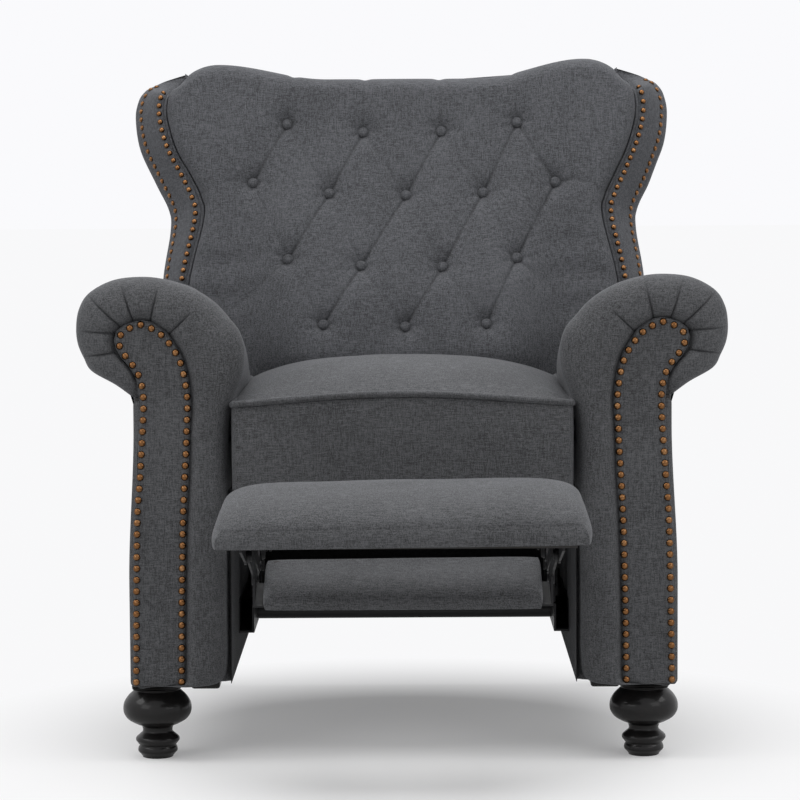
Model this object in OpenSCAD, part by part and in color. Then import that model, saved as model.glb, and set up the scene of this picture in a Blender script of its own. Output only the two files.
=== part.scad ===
// High-leg push-back recliner with rolled arms, a tufted wing back and a two-pad footrest.
// Millimetres. The chair faces -Y, stands on z = 0 and is drawn with its footrest out.
// "left" and "right" are as seen from the front. Inside the modules y = 0 is the front of the arms.

/* [Body] */
// Width over the flat arm sides
body_w = 744; // [720:2:770]
// Clear width between the arms below the seat
between_arms = 480; // [476:2:490]
// Height of the arm sides above the floor
base_z = 107; // [100:1:112]
// Depth of the arm sides
side_d = 645; // [640:5:670]
// Height of the low rear part of the arm sides
side_rear_z = 412; // [395:1:415]
// Thickness of the wooden side boards
side_board_t = 22; // [18:1:26]
// Thickness of the fabric-covered outer side panels
side_cover_t = 6; // [4:1:10]
// Height of the wooden sills inside the arms
sill_h = 110; // [100:1:130]

/* [Arms] */
// Height of the rolled arm tops
arm_z = 669; // [655:1:685]
// How far a roll stands out past the arm side
roll_out = 76; // [60:1:90]
// How far a roll leans in over the seat
roll_in = 24; // [10:1:25]
// Height at which the roll leaves the outer side
roll_low_z = 508; // [500:1:516]
// How much lower the roll is at its rear end
roll_fall = 33; // [0:1:40]
// Distance from the rear end of the roll to the rear end of the arm
roll_back = 125; // [121:1:150]
// Rounding of the arm's front edges
front_round = 24; // [12:1:30]
// Depth of the pleats on the front of a roll
pleat = 5; // [0:0.5:8]
// Distance from the arm side to the middle of the facing's head
head_in = 20; // [14:1:30]
// Height of the middle of the facing's head
head_z = 575; // [560:1:585]
// Thickness of the front facings
facing_t = 6; // [4:1:10]
// Diameter of the decorative nails
nail_d = 10.5; // [8:0.5:12]
// Spacing of the decorative nails
nail_pitch = 15.5; // [13:0.5:20]

/* [Feet] */
// Distance of the front feet from the middle
foot_x = 336; // [310:1:338]
// Distance of the front feet behind the arm fronts
foot_y = 50; // [48:1:70]
// Widest diameter of a turned front foot
foot_d = 95; // [80:1:96]
// Neck diameter of a turned front foot
foot_neck_d = 42; // [34:1:50]
// Width of a rear leg at its foot
leg_w = 44; // [36:1:50]
// Width of a rear leg at its top
leg_top_w = 62; // [50:1:70]

/* [Seat] */
// Gap between the seat and each arm
seat_gap = 9; // [7:0.5:12]
// Height of the underside of the seat frame
seat_frame_z = 378; // [377:1:386]
// Height of the wooden seat frame
seat_frame_h = 52; // [44:1:56]
// Thickness of the seat frame's boards
seat_board_t = 26; // [20:1:30]
// Depth of the seat frame
seat_frame_d = 556; // [540:2:560]
// Height of the seat cushion's edge
seat_edge_z = 497; // [490:1:502]
// Rise of the seat cushion in the middle
seat_crown = 52; // [30:1:60]
// Depth of the seat cushion
seat_d = 496; // [470:1:498]
// Diameter of the welt along the seat's front
welt_d = 11; // [8:0.5:13]
// Wire diameter of the seat springs
spring_wire = 3.6; // [3:0.1:4]
// Number of seat springs
spring_count = 5; // [4:1:6]

/* [Back] */
// Lean of the back from upright in the drawn pose
back_lean = 16; // [14:0.5:18]
// Distance of the recline pivot behind the seat frame
recline_back = 44; // [42:1:48]
// Height of the recline pivot
recline_z = 410; // [406:1:412]
// Length of the back, measured along it, at its middle
back_len = 569; // [540:1:590]
// Extra length of the back at its two soft peaks
peak_rise = 25; // [0:1:35]
// Thickness of the back's plywood core
back_board_t = 18; // [15:1:20]
// Half width of the back at its waist
back_waist = 366; // [355:1:372]
// Half width of the back at its shoulders
back_shoulder = 429; // [400:1:440]
// Width of the wing bands at the waist
band_w = 51; // [40:1:60]
// Fullness of the tufted cushion in front of the core
back_full = 48; // [40:1:56]
// Extra fullness of the cushion at the lower back
lumbar = 50; // [30:1:54]
// Depth of the tufts
tuft_depth = 26; // [10:1:30]
// Height of the third row of tufts, along the back
tuft_row = 242; // [225:1:255]
// Distance between the rows of tufts
tuft_rise = 110; // [100:1:115]
// Distance between the tufts of a row
tuft_pitch = 123; // [105:1:126]
// Diameter of the covered buttons
button_d = 19; // [14:1:24]
// Depth of the outer back behind the core
shell_d = 52; // [40:1:60]

/* [Mechanism] */
// Thickness of the steel link plates
plate_t = 3; // [2.5:0.5:3.5]
// Space between neighbouring plates
plate_gap = 1.5; // [1:0.1:2]
// Distance of the seat plates' inner faces from the middle
seat_plate_x = 204; // [200:1:206]
// Diameter of the pivot pins
pin_d = 8; // [6:0.5:10]
// Running clearance of a pin, on the radius
pin_fit = 0.08; // [0.05:0.01:0.1]
// Width of the links
link_w = 20; // [16:1:22]
// Length of the swing links that carry the seat
swing_len = 90; // [70:1:100]
// Slant of the swing links in the drawn pose
swing_slant = 10; // [5:1:15]
// Height of the swing links' upper pivots
swing_z = 330; // [320:1:334]
// Distance of the front swing pivots behind the arm fronts
swing_front_y = 260; // [240:1:290]
// Distance of the rear swing pivots behind the arm fronts
swing_rear_y = 480; // [440:1:500]
// Diameter of the cross tubes
tube_d = 22; // [18:1:26]

/* [Footrest] */
// Distance of the footrest's first pivot behind the arm fronts
link_y = 100; // [95:1:110]
// Height of the footrest's first pivot
link_z = 335; // [330:1:340]
// Length of the drive link to its middle pivot
drive_len = 157.9; // [150:0.1:165]
// Slope of the drive link, footrest out
drive_a = -20; // [-24:0.5:-16]
// Length of the two long links
long_len = 182.2; // [175:0.1:190]
// Slope of the two long links, footrest out
long_a = 16.5; // [14:0.5:18]
// Length of the tail behind the rear long link's pivot
tail_len = 36; // [34:0.5:38]
// Angle from the rear long link to its tail
tail_a = 133.4; // [130:0.1:136]
// Distance of the guide link's pivot behind the first pivot
guide_back = 57.4; // [54:0.1:60]
// Height of the guide link's pivot above the first pivot
guide_up = 22; // [20:0.5:24]
// Spacing of the parallel pivots on the drive link and on the footrest
pair_len = 65; // [62:0.5:70]
// Slope of the line through the parallel pivots, footrest out
pair_a = -7; // [-9:0.5:-5]
// Play of the guide link's open eye, on the radius
eye_play = 5; // [4.6:0.1:6]
// Slope of the footrest, footrest out
rest_a = -3.5; // [-6:0.5:0]
// Height of the footrest board above its pivots
rest_up = 35; // [32:1:38]
// Length of the footrest pad
rest_len = 258; // [240:1:260]
// Width of the footrest pad
rest_w = 468; // [440:2:472]
// Thickness of the footrest pad at its middle
rest_t = 50; // [40:1:54]
// Slope of the middle pad, footrest out
mid_a = -25; // [-30:1:-20]
// Length of the middle pad
mid_len = 120; // [100:1:124]
// Width of the middle pad
mid_w = 370; // [340:2:374]
// Thickness of the middle pad
mid_t = 30; // [22:1:34]

/* [Hidden] */
$fn = 32;

// Clearances and small sizes
soft = 0.3;                 // a soft piece stays this far from its neighbours
shim = 0.2;                 // a collar stays this far from the link that turns on it
head_t = 2.2;               // thickness of a pin's head
head_r = pin_d / 2 + 3;     // radius of a pin's head
collar_r = pin_d / 2 + 4;   // radius of a spacing collar
side_x = body_w / 2;
room = between_arms / 2;
frame_x = side_x - side_cover_t - side_board_t;
roll_bottom = roll_low_z - 2;
charcoal = [0.30, 0.30, 0.31];
charcoal_light = [0.36, 0.36, 0.37];
bronze = [0.45, 0.28, 0.18];
wood = [0.72, 0.58, 0.40];
black_wood = [0.07, 0.06, 0.06];
steel_black = [0.10, 0.10, 0.11];
wire_grey = [0.45, 0.46, 0.48];

roll_d = side_d - roll_back;
recline_y = seat_frame_d + recline_back;

// Back frame of reference: x across, v rearwards, w along the back, from the recline pivot
function back_y(v, w) = recline_y + v * cos(back_lean) + w * sin(back_lean);
back_peak = back_len + peak_rise;
core_v = [-8, -8 + back_board_t];

// Footrest points in its own plane: first value forwards, second up, from the first pivot
function ray(r, a) = [r * cos(a), r * sin(a)];
p_drive = [0, 0];
p_guide = [-guide_back, guide_up];
p_mid = p_drive + ray(drive_len, drive_a);
p_end = p_mid + ray(pair_len, pair_a);
p_tail = p_mid + ray(tail_len, long_a + tail_a);
p_rest = p_mid + ray(long_len, long_a);
p_rest2 = p_rest + ray(pair_len, pair_a);
rest_back = 22;             // length of the pad behind the footrest's rear pivot
mid_at = p_end + [26, -9];  // middle of the middle pad's underside

// Front end of the part: the edge of the footrest
rest_front = p_rest + ray(rest_len - rest_back, rest_a) + ray(rest_up + rest_t / 2, rest_a + 90);
front_y = link_y - rest_front[0];

// Helpers

function smooth(s) = let (t = max(0, min(1, s))) t * t * (3 - 2 * t);
function mix(a, b, s) = a + (b - a) * s;
function unit(v) = v / norm(v);
// Length along a list of points up to each point
function run_lengths(p, i = 0, so_far = 0) = i >= len(p) ? [] :
  concat([[so_far, i]], run_lengths(p, i + 1, i + 1 < len(p) ? so_far + norm(p[i + 1] - p[i]) : 0));
// Point of a list of points at a fraction of its index
function at_index(p, f) = let (i = min(floor(f), len(p) - 2)) mix(p[i], p[i + 1], f - i);
// Points spaced evenly along a path, ends included
function spaced(p, pitch) = let (
    runs = run_lengths(p), whole = runs[len(p) - 1][0], count = round(whole / pitch))
  [for (k = [0:count]) at_index(p, lookup(whole * k / count, runs))];
// Smooth curve through a few points
function blend4(a, b, c, d, t) = b + 0.5 * t * (c - a + t * (2 * a - 5 * b + 4 * c - d + t * (3 * (b - c) + d - a)));
function curve(p, steps) = let (n = len(p)) concat(
  [for (i = [0:n - 2], s = [0:steps - 1])
    blend4(p[max(0, i - 1)], p[i], p[i + 1], p[min(n - 1, i + 2)], s / steps)], [p[n - 1]]);
// The same path moved sideways by d, to its left for a positive d
function moved(p, d) = [for (i = [0:len(p) - 1]) let (
    t = unit(p[min(i + 1, len(p) - 1)] - p[max(i - 1, 0)])) p[i] + d * [-t[1], t[0]]];

module place() translate([0, y_shift, 0]) children();
module left() mirror([1, 0, 0]) children();
// Draws a side view, with x as y and y as z, and gives it a thickness from x = x0
module side_plate(x0, t) translate([x0, 0, 0]) rotate([90, 0, 90]) linear_extrude(t) children();
// A flat bar with round ends, whose straight edges lie a hair inside them, clear of tangent points
bar_hair = 0.02;
module bar2d(p, q, w) {
  translate(p) rotate(atan2(q[1] - p[1], q[0] - p[0])) translate([0, bar_hair - w / 2])
    square([norm(q - p), w - 2 * bar_hair]);
  translate(p) circle(d = w);
  translate(q) circle(d = w);
}
module pin(at, x0, x1, r) translate([x0, at[0], at[1]]) rotate([0, 90, 0]) cylinder(r = r, h = x1 - x0);
module in_back() translate([0, recline_y, recline_z]) rotate([-back_lean, 0, 0]) children();

function middle(p) = [for (k = [0:len(p[0]) - 1]) sum([for (q = p) q[k]]) / len(p)];
function sum(v, i = 0) = i < len(v) ? v[i] + sum(v, i + 1) : 0;
// A solid between rings of equally many points; the rings run along the solid. Each end is a fan of
// triangles round a hub, which is the middle of its ring unless hubs gives both
module loft(rings, flip = false, hubs = undef) {
  n = len(rings[0]);
  m = len(rings);
  sides = [for (j = [0:m - 2], i = [0:n - 1]) let (
      a = j * n + i, b = j * n + (i + 1) % n) each [[a, b, b + n], [a, b + n, a + n]]];
  caps = [for (i = [0:n - 1]) let (k = (i + 1) % n, last = (m - 1) * n) each
    [[k, i, m * n], [last + i, last + k, m * n + 1]]];
  faces = concat(sides, caps);
  ends = is_undef(hubs) ? [middle(rings[0]), middle(rings[m - 1])] : hubs;
  polyhedron(concat([for (r = rings) each r], ends), flip ? [for (f = faces) [f[2], f[1], f[0]]] : faces);
}
// Indices of the rim of a grid of m rows of n points
function rim(n, m) = concat([for (i = [0:n - 1]) i], [for (j = [1:m - 1]) j * n + n - 1],
  [for (i = [n - 2:-1:0]) (m - 1) * n + i], [for (j = [m - 2:-1:1]) j * n]);
// A cushion: a grid of points for its face, closed by a flat back, a fan of triangles under its rim
module cushion(face, back) {
  n = len(face[0]);
  m = len(face);
  edge = rim(n, m);
  k = len(edge);
  grid = [for (j = [0:m - 2], i = [0:n - 2]) let (a = j * n + i)
    each [[a, a + n, a + n + 1], [a, a + n + 1, a + 1]]];
  wall = [for (i = [0:k - 1]) let (a = edge[i], b = edge[(i + 1) % k], c = n * m + i, d = n * m + (i + 1) % k)
    each [[a, b, d], [a, d, c]]];
  fan = [for (i = [0:k - 1]) [n * m + i, n * m + (i + 1) % k, n * m + k]];
  polyhedron(concat([for (r = face) each r], back, [middle(back)]), concat(grid, wall, fan));
}
function rim_points(face) = let (n = len(face[0]), all = [for (r = face) each r]) [for (i = rim(n, len(face))) all[i]];

// Footrest plane to the chair's side view
function side_yz(p) = [link_y - p[0], link_z + p[1]];
// Inner face of the n-th layer of plates, counted inwards from the seat plates
function layer(n) = seat_plate_x - n * (plate_t + plate_gap);
// A plate of the footrest with round ends at the given pivots
module link(points, n, w = link_w) side_plate(layer(n), plate_t)
  for (i = [0:len(points) - 2]) bar2d(side_yz(points[i]), side_yz(points[i + 1]), w);
module bore(p, n, r = pin_d / 2 + pin_fit) pin(side_yz(p), layer(n) - 1, layer(n) + plate_t + 1, r);
// A pin from one layer through the next one inwards, with its collar and head
module rivet(p, n, n2) {
  pin(side_yz(p), layer(n2) - shim - head_t, layer(n), pin_d / 2);
  pin(side_yz(p), layer(n2) + plate_t + shim, layer(n), collar_r);
  pin(side_yz(p), layer(n2) - shim - head_t, layer(n2) - shim, head_r);
}

// Arms

// The roll starts to lean in over the seat above the swinging cushion's edge
seat_sweep = 12;
roll_half_h = 79;           // height of the roll above its widest place, at the front
roll_rear_in = 6;           // how far its rear end leans in over the seat
roll_sag = 112;             // how much lower its widest place is at the rear, on the seat's side
roll_out_fall = 22;         // and on the outer side
// Outline of the padded arm, from its inner foot over the roll to the side board; t is 0 at the front, 1 at the rear
function arm_outline(foot_z, t) = let (
    lean_in = mix(roll_in, roll_rear_in, min(1, 1.6 * t)),
    top_x = (room - lean_in + side_x + roll_out) / 2,
    half = (side_x + roll_out - room + lean_in) / 2,
    top_z = arm_z - roll_fall * t,
    in_z = arm_z - roll_half_h - roll_sag * t, out_z = arm_z - roll_half_h - roll_out_fall * t,
    low = mix(seat_edge_z + seat_sweep, in_z - 60, t))
  concat(
    [for (s = [0:3]) [room, mix(foot_z, low, s / 3)]],
    [for (s = [1:3]) [room - lean_in * smooth(s / 3.5), mix(low, in_z, s / 3.5)]],
    [for (a = [180:-18:0]) let (z = a > 90 ? in_z : out_z) [top_x + half * cos(a), z + (top_z - z) * sin(a)]],
    [for (a = [-18:-18:-90]) [side_x - 2 + (roll_out + 2) * cos(a), out_z + (out_z - roll_low_z) * sin(a)]],
    [[frame_x - soft, roll_low_z]]);
// How much of the front rounding a point of the outline takes: none beside the frame
function arm_free(i, n) = i == 0 || i >= n - 2 ? 0 : 1;

module arm_pad() color(charcoal) place() {
  up = base_z + sill_h + soft;
  low = arm_outline(base_z, 0);
  n = len(low);
  // Stations along the arm: depth, inset of the edge, strength of the pleats, and the outline used
  stations = [
    [0, front_round, 0, low], [front_round * 0.13, front_round * 0.5, 1, low],
    [front_round * 0.5, front_round * 0.13, 1, low], [front_round, 0, 0.6, low],
    [42, 0, 0, low], for (y = [[42.5, 0], [roll_d * 0.45, 0], [roll_d - 20, 0], [roll_d - 5, 6], [roll_d, 18]])
      [y[0], y[1], 0, arm_outline(up, (y[0] - front_round) / (roll_d - front_round))]];
  hub_x = (room + frame_x) / 2;
  hub_z = (roll_low_z + arm_z) / 2;
  loft([for (s = stations) let (line = moved(s[3], -1)) concat(
      [for (i = [0:n - 1]) let (
          out = line[i] - s[3][i],
          fold = i > 7 && i < n - 3 ? pleat * s[2] * (i % 2) : 0,
          q = s[3][i] + out * (s[1] + fold) * arm_free(i, n))
        [q[0], s[0], q[1]]],
      [[frame_x - soft, s[0], s[3][0][1]]])], flip = true, hubs = [[hub_x, 0, hub_z], [hub_x, roll_d, hub_z]]);
}

rear_cover_t = 8;
sill_y = 44;
post_y = side_d - rear_cover_t;
post_d = 72;
post_drop = 34;             // the post ends below the sweep of the reclined back
module arm_frame() color(wood) place() {
  side_plate(frame_x, side_board_t)
    polygon([[0, base_z], [side_d, base_z], [side_d, side_rear_z - 22], [roll_d + 20, side_rear_z],
      [roll_d, roll_bottom], [0, roll_bottom]]);
  // Sill under the padding, which the base rail is screwed to, and the rear post
  translate([room, sill_y, base_z]) cube([frame_x - room, post_y - sill_y, sill_h]);
  translate([room, post_y - post_d, base_z + sill_h])
    cube([frame_x - room, post_d, side_rear_z - post_drop - base_z - sill_h]);
}

module arm_side() color(charcoal) place()
  side_plate(frame_x + side_board_t, side_cover_t)
    polygon([[0, base_z], [side_d, base_z], [side_d, side_rear_z - 22], [roll_d + 20, side_rear_z],
      [roll_d, roll_low_z - 8], [0, roll_low_z - 8]]);

// Line of the nails round a facing, from its outer foot over the head to its inner foot
nail_half = 33;
head_r_x = 36;
head_r_z = 29;
function nail_line() = let (x = side_x - head_in, stem = side_x - 35) concat(
  curve([[stem + nail_half, base_z + 8], [stem + nail_half - 4, base_z + 220], [stem + nail_half - 11, head_z - 95],
    [stem + nail_half - 10, head_z - 45], [x + head_r_x - 10, head_z - 14]], 3),
  [for (a = [0:20:180]) [x + head_r_x * cos(a), head_z + head_r_z * sin(a)]],
  curve([[x - head_r_x - 8, head_z - 14], [stem - nail_half - 8, head_z - 45], [stem - nail_half - 8, head_z - 95],
    [stem - nail_half - 3, base_z + 220], [stem - nail_half, base_z + 8]], 3));

module facing_shape() {
  line = moved(nail_line(), -6);
  n = len(line);
  polygon(concat([[line[0][0], base_z + 1]], line, [[line[n - 1][0], base_z + 1]]));
}
module arm_facing() color(charcoal) place()
  rotate([90, 0, 0]) linear_extrude(facing_t) facing_shape();

module nail(d = nail_d) cylinder(d1 = d, d2 = d * 0.5, h = d * 0.28, $fn = 16);
module arm_nails() color(bronze) place()
  for (p = spaced(nail_line(), nail_pitch)) translate([p[0], -facing_t, p[1]]) rotate([90, 0, 0]) nail();

// Feet

foot_plinth = 66;
module front_foot() color(black_wood) place() translate([foot_x, foot_y, 0]) {
  bulb_z = base_z * 0.7;
  ring_z = base_z * 0.22;
  rotate_extrude($fn = 64) polygon(concat(
    [[0, 0], [20, 0], [26, 3], [27.5, 8], [27, base_z * 0.15]],
    [for (a = [-60:30:60]) [27 + 4 * cos(a), ring_z + 5 * sin(a)]],
    [[foot_neck_d / 2 + 3, ring_z + 8], [foot_neck_d / 2, base_z * 0.36], [foot_neck_d / 2 + 1, base_z * 0.44]],
    [for (a = [-60:20:60]) [foot_neck_d / 2 + (foot_d - foot_neck_d) / 2 * (cos(a * 1.45) + 0.2) / 1.2,
      bulb_z + 21 * sin(a * 1.45)]],
    [[foot_plinth / 2 - 4, base_z - 9], [0, base_z - 9]]));
  translate([-foot_plinth / 2, -foot_plinth / 2, base_z - 9]) cube([foot_plinth, foot_plinth, 9]);
}

leg_y = side_d - 45;
module rear_leg() color(black_wood) place() {
  // The leg rakes backwards as it narrows to the floor
  rake = 14;
  loft([for (e = [[0, leg_w, rake], [base_z, leg_top_w, 0]])
    [for (c = [[1, 1], [1, -1], [-1, -1], [-1, 1]])
      [foot_x - 22 + c[0] * e[1] / 2, leg_y + e[2] + c[1] * e[1] / 2, e[0]]]]);
}

module rear_rail() color(wood) place()
  translate([-room, side_d - 50, base_z + 4]) cube([2 * room, 28, 46]);

module rear_cover() color(charcoal) place()
  translate([-frame_x, post_y, base_z]) cube([2 * frame_x, rear_cover_t, side_rear_z - 24 - base_z]);

// Base of the mechanism

rail_x = seat_plate_x + 2 * plate_t + 2 * 3;
rail_z = base_z + 43;
tube_z = base_z + 60;
function swing_low(y) = [y + swing_len * sin(swing_slant), swing_z - swing_len * cos(swing_slant)];
swing_x = seat_plate_x + plate_t + 3;

module base_rail() color(steel_black) place() {
  difference() {
    side_plate(rail_x, plate_t) {
      translate([swing_front_y - 60, rail_z]) square([swing_rear_y - swing_front_y + 120, 40]);
      for (y = [swing_front_y, swing_rear_y])
        polygon([[y - 45, rail_z + 30], [y + 45, rail_z + 30], [y + 14, swing_z], [y - 14, swing_z]]);
      for (y = [swing_front_y, swing_rear_y]) translate([y, swing_z]) circle(r = 14);
    }
    for (y = [swing_front_y, swing_rear_y]) pin([y, swing_z], rail_x - 1, rail_x + plate_t + 1, pin_d / 2);
  }
  // Angle that carries the plate on the arm's sill
  translate([rail_x, swing_front_y - 60, rail_z]) cube([room - rail_x, swing_rear_y - swing_front_y + 120, plate_t]);
  translate([room - plate_t, swing_front_y - 60, rail_z]) cube([plate_t, swing_rear_y - swing_front_y + 120, 45]);
}

module cross_tube(y) color(steel_black) place() difference() {
  pin([y, tube_z], -rail_x, rail_x, tube_d / 2);
  pin([y, tube_z], -rail_x - 1, rail_x + 1, tube_d / 2 - 2);
}

// Swing links: the upper pin turns in the base rail, the seat plate's pin turns in the lower eye
module swing(y) color(steel_black) place() {
  top = [y, swing_z];
  low = swing_low(y);
  difference() {
    side_plate(swing_x, plate_t) bar2d(top, low, link_w + 4);
    pin(low, swing_x - 1, swing_x + plate_t + 1, pin_d / 2 + pin_fit);
  }
  pin(top, swing_x + plate_t, rail_x - shim, collar_r);
  pin(top, swing_x + plate_t, rail_x + plate_t + shim + head_t, pin_d / 2 - pin_fit);
  pin(top, rail_x + plate_t + shim, rail_x + plate_t + shim + head_t, head_r);
}

// Seat

seat_half = room - seat_gap;
seat_top = seat_frame_z + seat_frame_h;
plate_top = seat_frame_z - plate_t;
recline_at = [recline_y, recline_z];
arm_start = seat_frame_d + 16; // the plate rises to the recline pivot behind the frame

module seat_plate() color(steel_black) place() {
  a = side_yz(p_drive);
  b = side_yz(p_guide);
  side_plate(seat_plate_x, plate_t) {
    translate([a[0] - 40, plate_top - 28]) square([arm_start - a[0] + 40, 28]);
    bar2d(a, [a[0] + 12, plate_top - 14], 26);
    bar2d(b, [b[0], plate_top - 14], 24);
    for (y = [swing_front_y, swing_rear_y]) let (low = swing_low(y)) {
      polygon([[low[0] - 40, plate_top - 28], [low[0] + 40, plate_top - 28], [low[0] + 12, low[1]], [low[0] - 12, low[1]]]);
      translate(low) circle(r = 12);
    }
    bar2d([arm_start, plate_top - 14], recline_at, 28);
  }
  // Flange under the seat frame
  translate([seat_plate_x, a[0] - 40, plate_top]) cube([22, seat_frame_d - a[0] + 20, plate_t]);
  rivet(p_drive, 0, 1);
  rivet(p_guide, 0, 3);
  for (y = [swing_front_y, swing_rear_y]) let (low = swing_low(y)) {
    pin(low, seat_plate_x + plate_t, swing_x - shim, collar_r);
    pin(low, seat_plate_x + plate_t, swing_x + plate_t + shim + head_t, pin_d / 2);
    pin(low, swing_x + plate_t + shim, swing_x + plate_t + shim + head_t, head_r);
  }
  pin(recline_at, seat_plate_x + plate_t, seat_plate_x + plate_t + plate_gap - shim, collar_r);
  pin(recline_at, seat_plate_x + plate_t, seat_plate_x + 2 * plate_t + plate_gap + shim + head_t, pin_d / 2);
  pin(recline_at, seat_plate_x + 2 * plate_t + plate_gap + shim,
    seat_plate_x + 2 * plate_t + plate_gap + shim + head_t, head_r);
}

frame_half = seat_half - 7;
module seat_frame() color(wood) place() difference() {
  translate([-frame_half, 0, seat_frame_z]) cube([2 * frame_half, seat_frame_d, seat_frame_h]);
  translate([-frame_half + seat_board_t, seat_board_t, seat_frame_z - 1])
    cube([2 * (frame_half - seat_board_t), seat_frame_d - 2 * seat_board_t, seat_frame_h + 2]);
}

// A sinuous spring: one flat wire that weaves between two edges, anchored in the frame's ends
spring_half = 24;
spring_waves = 16;
module seat_springs() color(wire_grey) place() {
  // The springs run just under the frame's top, between its front and rear boards
  y0 = seat_board_t;
  step = (seat_frame_d - 2 * seat_board_t) / spring_waves;
  reach = frame_half - seat_board_t - spring_half - 14;
  mid = [for (k = [0:spring_waves - 1], s = [0:5]) let (a = s * 30)
    [(k % 2 == 0 ? 1 : -1) * (spring_half - step / 2 + step / 2 * sin(a)), y0 + step * (k + 0.5) - step / 2 * cos(a)]];
  line = concat([[0, y0]], mid, [[0, seat_frame_d - seat_board_t]]);
  edge_a = moved(line, spring_wire / 2);
  edge_b = moved(line, -spring_wire / 2);
  outline = concat(edge_a, [for (i = [len(edge_b) - 1:-1:0]) edge_b[i]]);
  for (k = [0:spring_count - 1]) translate([reach * (2 * k / (spring_count - 1) - 1), 0, seat_top - spring_wire - 2])
    linear_extrude(spring_wire) polygon([for (p = outline) [p[0], min(max(p[1], y0), seat_frame_d - seat_board_t)]]);
}

// Bow of the welt and of the cushion's front edge
function seat_bow(x) = 14 * cos(90 * x / seat_half);
function seat_height(x, s) = let (
    across = pow(max(0, 1 - pow(abs(x) / seat_half, 2.6)), 0.75),
    along = pow(sin(90 * min(1, s / 0.42)), 0.9) * (1 - 0.75 * pow(max(0, (s - 0.55) / 0.45), 3)))
  seat_edge_z + seat_bow(x) * (1 - smooth(s * 2.2)) + seat_crown * across * along;
seat_front = 1.5;
module seat_cushion() color(charcoal_light) place() {
  nx = 22;
  ny = 18;
  face = [for (j = [0:ny]) [for (i = [0:nx]) let (
      x = -seat_half * cos(180 * i / nx), s = (1 - cos(180 * j / ny)) / 2)
    [x, seat_front + s * seat_d, seat_height(x, s)]]];
  pull = 7;
  mid = seat_front + seat_d / 2;
  back = [for (p = rim_points(face))
    [p[0] * (1 - pull / seat_half), mid + (p[1] - mid) * (1 - 2 * pull / seat_d), seat_top + soft]];
  cushion(face, back);
}

border_t = 12;
module seat_border() color(charcoal) place() {
  n = 16;
  xs = [for (i = [0:n]) -seat_half + 2 * seat_half * i / n];
  face = [for (j = [0:6]) [for (x = xs) let (top = seat_edge_z + seat_bow(x) - welt_d - soft)
    [x, -border_t * (0.55 + 0.45 * sin(180 * j / 6)), mix(seat_frame_z, top, j / 6)]]];
  cushion(face, [for (p = rim_points(face)) [p[0], -soft, p[2]]]);
}

module seat_welt() color(charcoal_light) place() {
  sides = 8;
  n = 24;
  loft([for (i = [0:n]) let (x = mix(-seat_half, seat_half, i / n))
    [for (k = [0:sides - 1]) let (a = 360 * k / sides)
      [x, -welt_d / 2 - soft + welt_d / 2 * cos(a), seat_edge_z + seat_bow(x) - welt_d / 2 + welt_d / 2 * sin(a)]]]);
}

// Back

bracket_x = seat_plate_x + plate_t + plate_gap;
core_low = 18;              // lower edge of the core, along the back
eye_r = 15;
flange_w = 32;
flange_top = 138;
gusset_v = core_v[1] + 22;
gusset_top = 90;
module back_bracket() color(steel_black) place() {
  difference() {
    side_plate(bracket_x, plate_t) translate(recline_at) rotate(-back_lean) {
      circle(r = eye_r);
      translate([-eye_r, 0]) square([core_v[1] + eye_r + plate_t, core_low - 0.5]);
      polygon([[core_v[1], 0], [gusset_v, 8], [gusset_v, 40], [core_v[1] + plate_t, gusset_top], [core_v[1], gusset_top]]);
    }
    pin(recline_at, bracket_x - 1, bracket_x + plate_t + 1, pin_d / 2 + pin_fit);
  }
  // Flange bolted on the rear of the back's core
  in_back() translate([bracket_x + plate_t - flange_w, core_v[1], core_low - 1.5])
    cube([flange_w, plate_t, flange_top - core_low + 1.5]);
}

// Half width of the back's core and cushion, and of its outer edge, along the back
inner_edge = [[room - 12, 44], [room + 70, 90], [room + 96, 200], [back_waist - band_w, 320], [back_waist - 44, 373],
  [back_waist - 16, 424], [back_shoulder - 59, 503], [back_shoulder - 70, 548], [back_shoulder - 92, 566]];
outer_edge = [[side_x - 22, 14], [side_x + 2, 120], [side_x + 6, 230], [back_waist, 318], [back_waist + 5, 355],
  [back_waist + 28, 400], [back_waist + 56, 456], [back_shoulder, 512], [back_shoulder - 12, 550],
  [back_shoulder - 42, 566], [back_shoulder - 76, 580]];
inner_line = curve(inner_edge, 4);
outer_line = curve(outer_edge, 4);
function swapped(p) = [for (q = p) [q[1], q[0]]];
inner_table = swapped(inner_line);
outer_table = swapped(outer_line);
function inner_half(w) = lookup(w, inner_table);
function outer_half(w) = lookup(w, outer_table);
// Top of the back: two soft peaks either side of the middle
peak_x = back_shoulder - 129;
function top_w(x) = let (a = abs(x)) a < peak_x
  ? mix(back_len, back_peak, smooth((a - 60) / (peak_x - 60)))
  : mix(back_peak, back_len + 6, smooth((a - peak_x) / (back_shoulder - 60 - peak_x)));
cushion_low = 44;

module back_core() color(wood) place() in_back()
  translate([0, core_v[1], 0]) rotate([90, 0, 0]) linear_extrude(back_board_t) {
    edge = [for (p = inner_line) if (p[1] >= cushion_low) [p[0] - 4, min(p[1], back_len - 14)]];
    polygon(concat([[-room + 20, core_low], [room - 20, core_low]], edge, [for (i = [len(edge) - 1:-1:0]) [-edge[i][0], edge[i][1]]]));
  }

// Tufts: four rows, five or four or three across, each row a little higher at its ends
tuft_rows = [[2, [-1.5, -0.5, 0.5, 1.5]], [1, [-2, -1, 0, 1, 2]], [0, [-1.5, -0.5, 0.5, 1.5]], [-0.9, [-1, 0, 1]]];
function tuft_lift(k) = 4.2 * k * k;
tufts = [for (r = tuft_rows, k = r[1]) [k * tuft_pitch * (abs(k) == 1.5 ? 0.98 : 1), tuft_row + r[0] * tuft_rise + tuft_lift(k)]];
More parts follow.
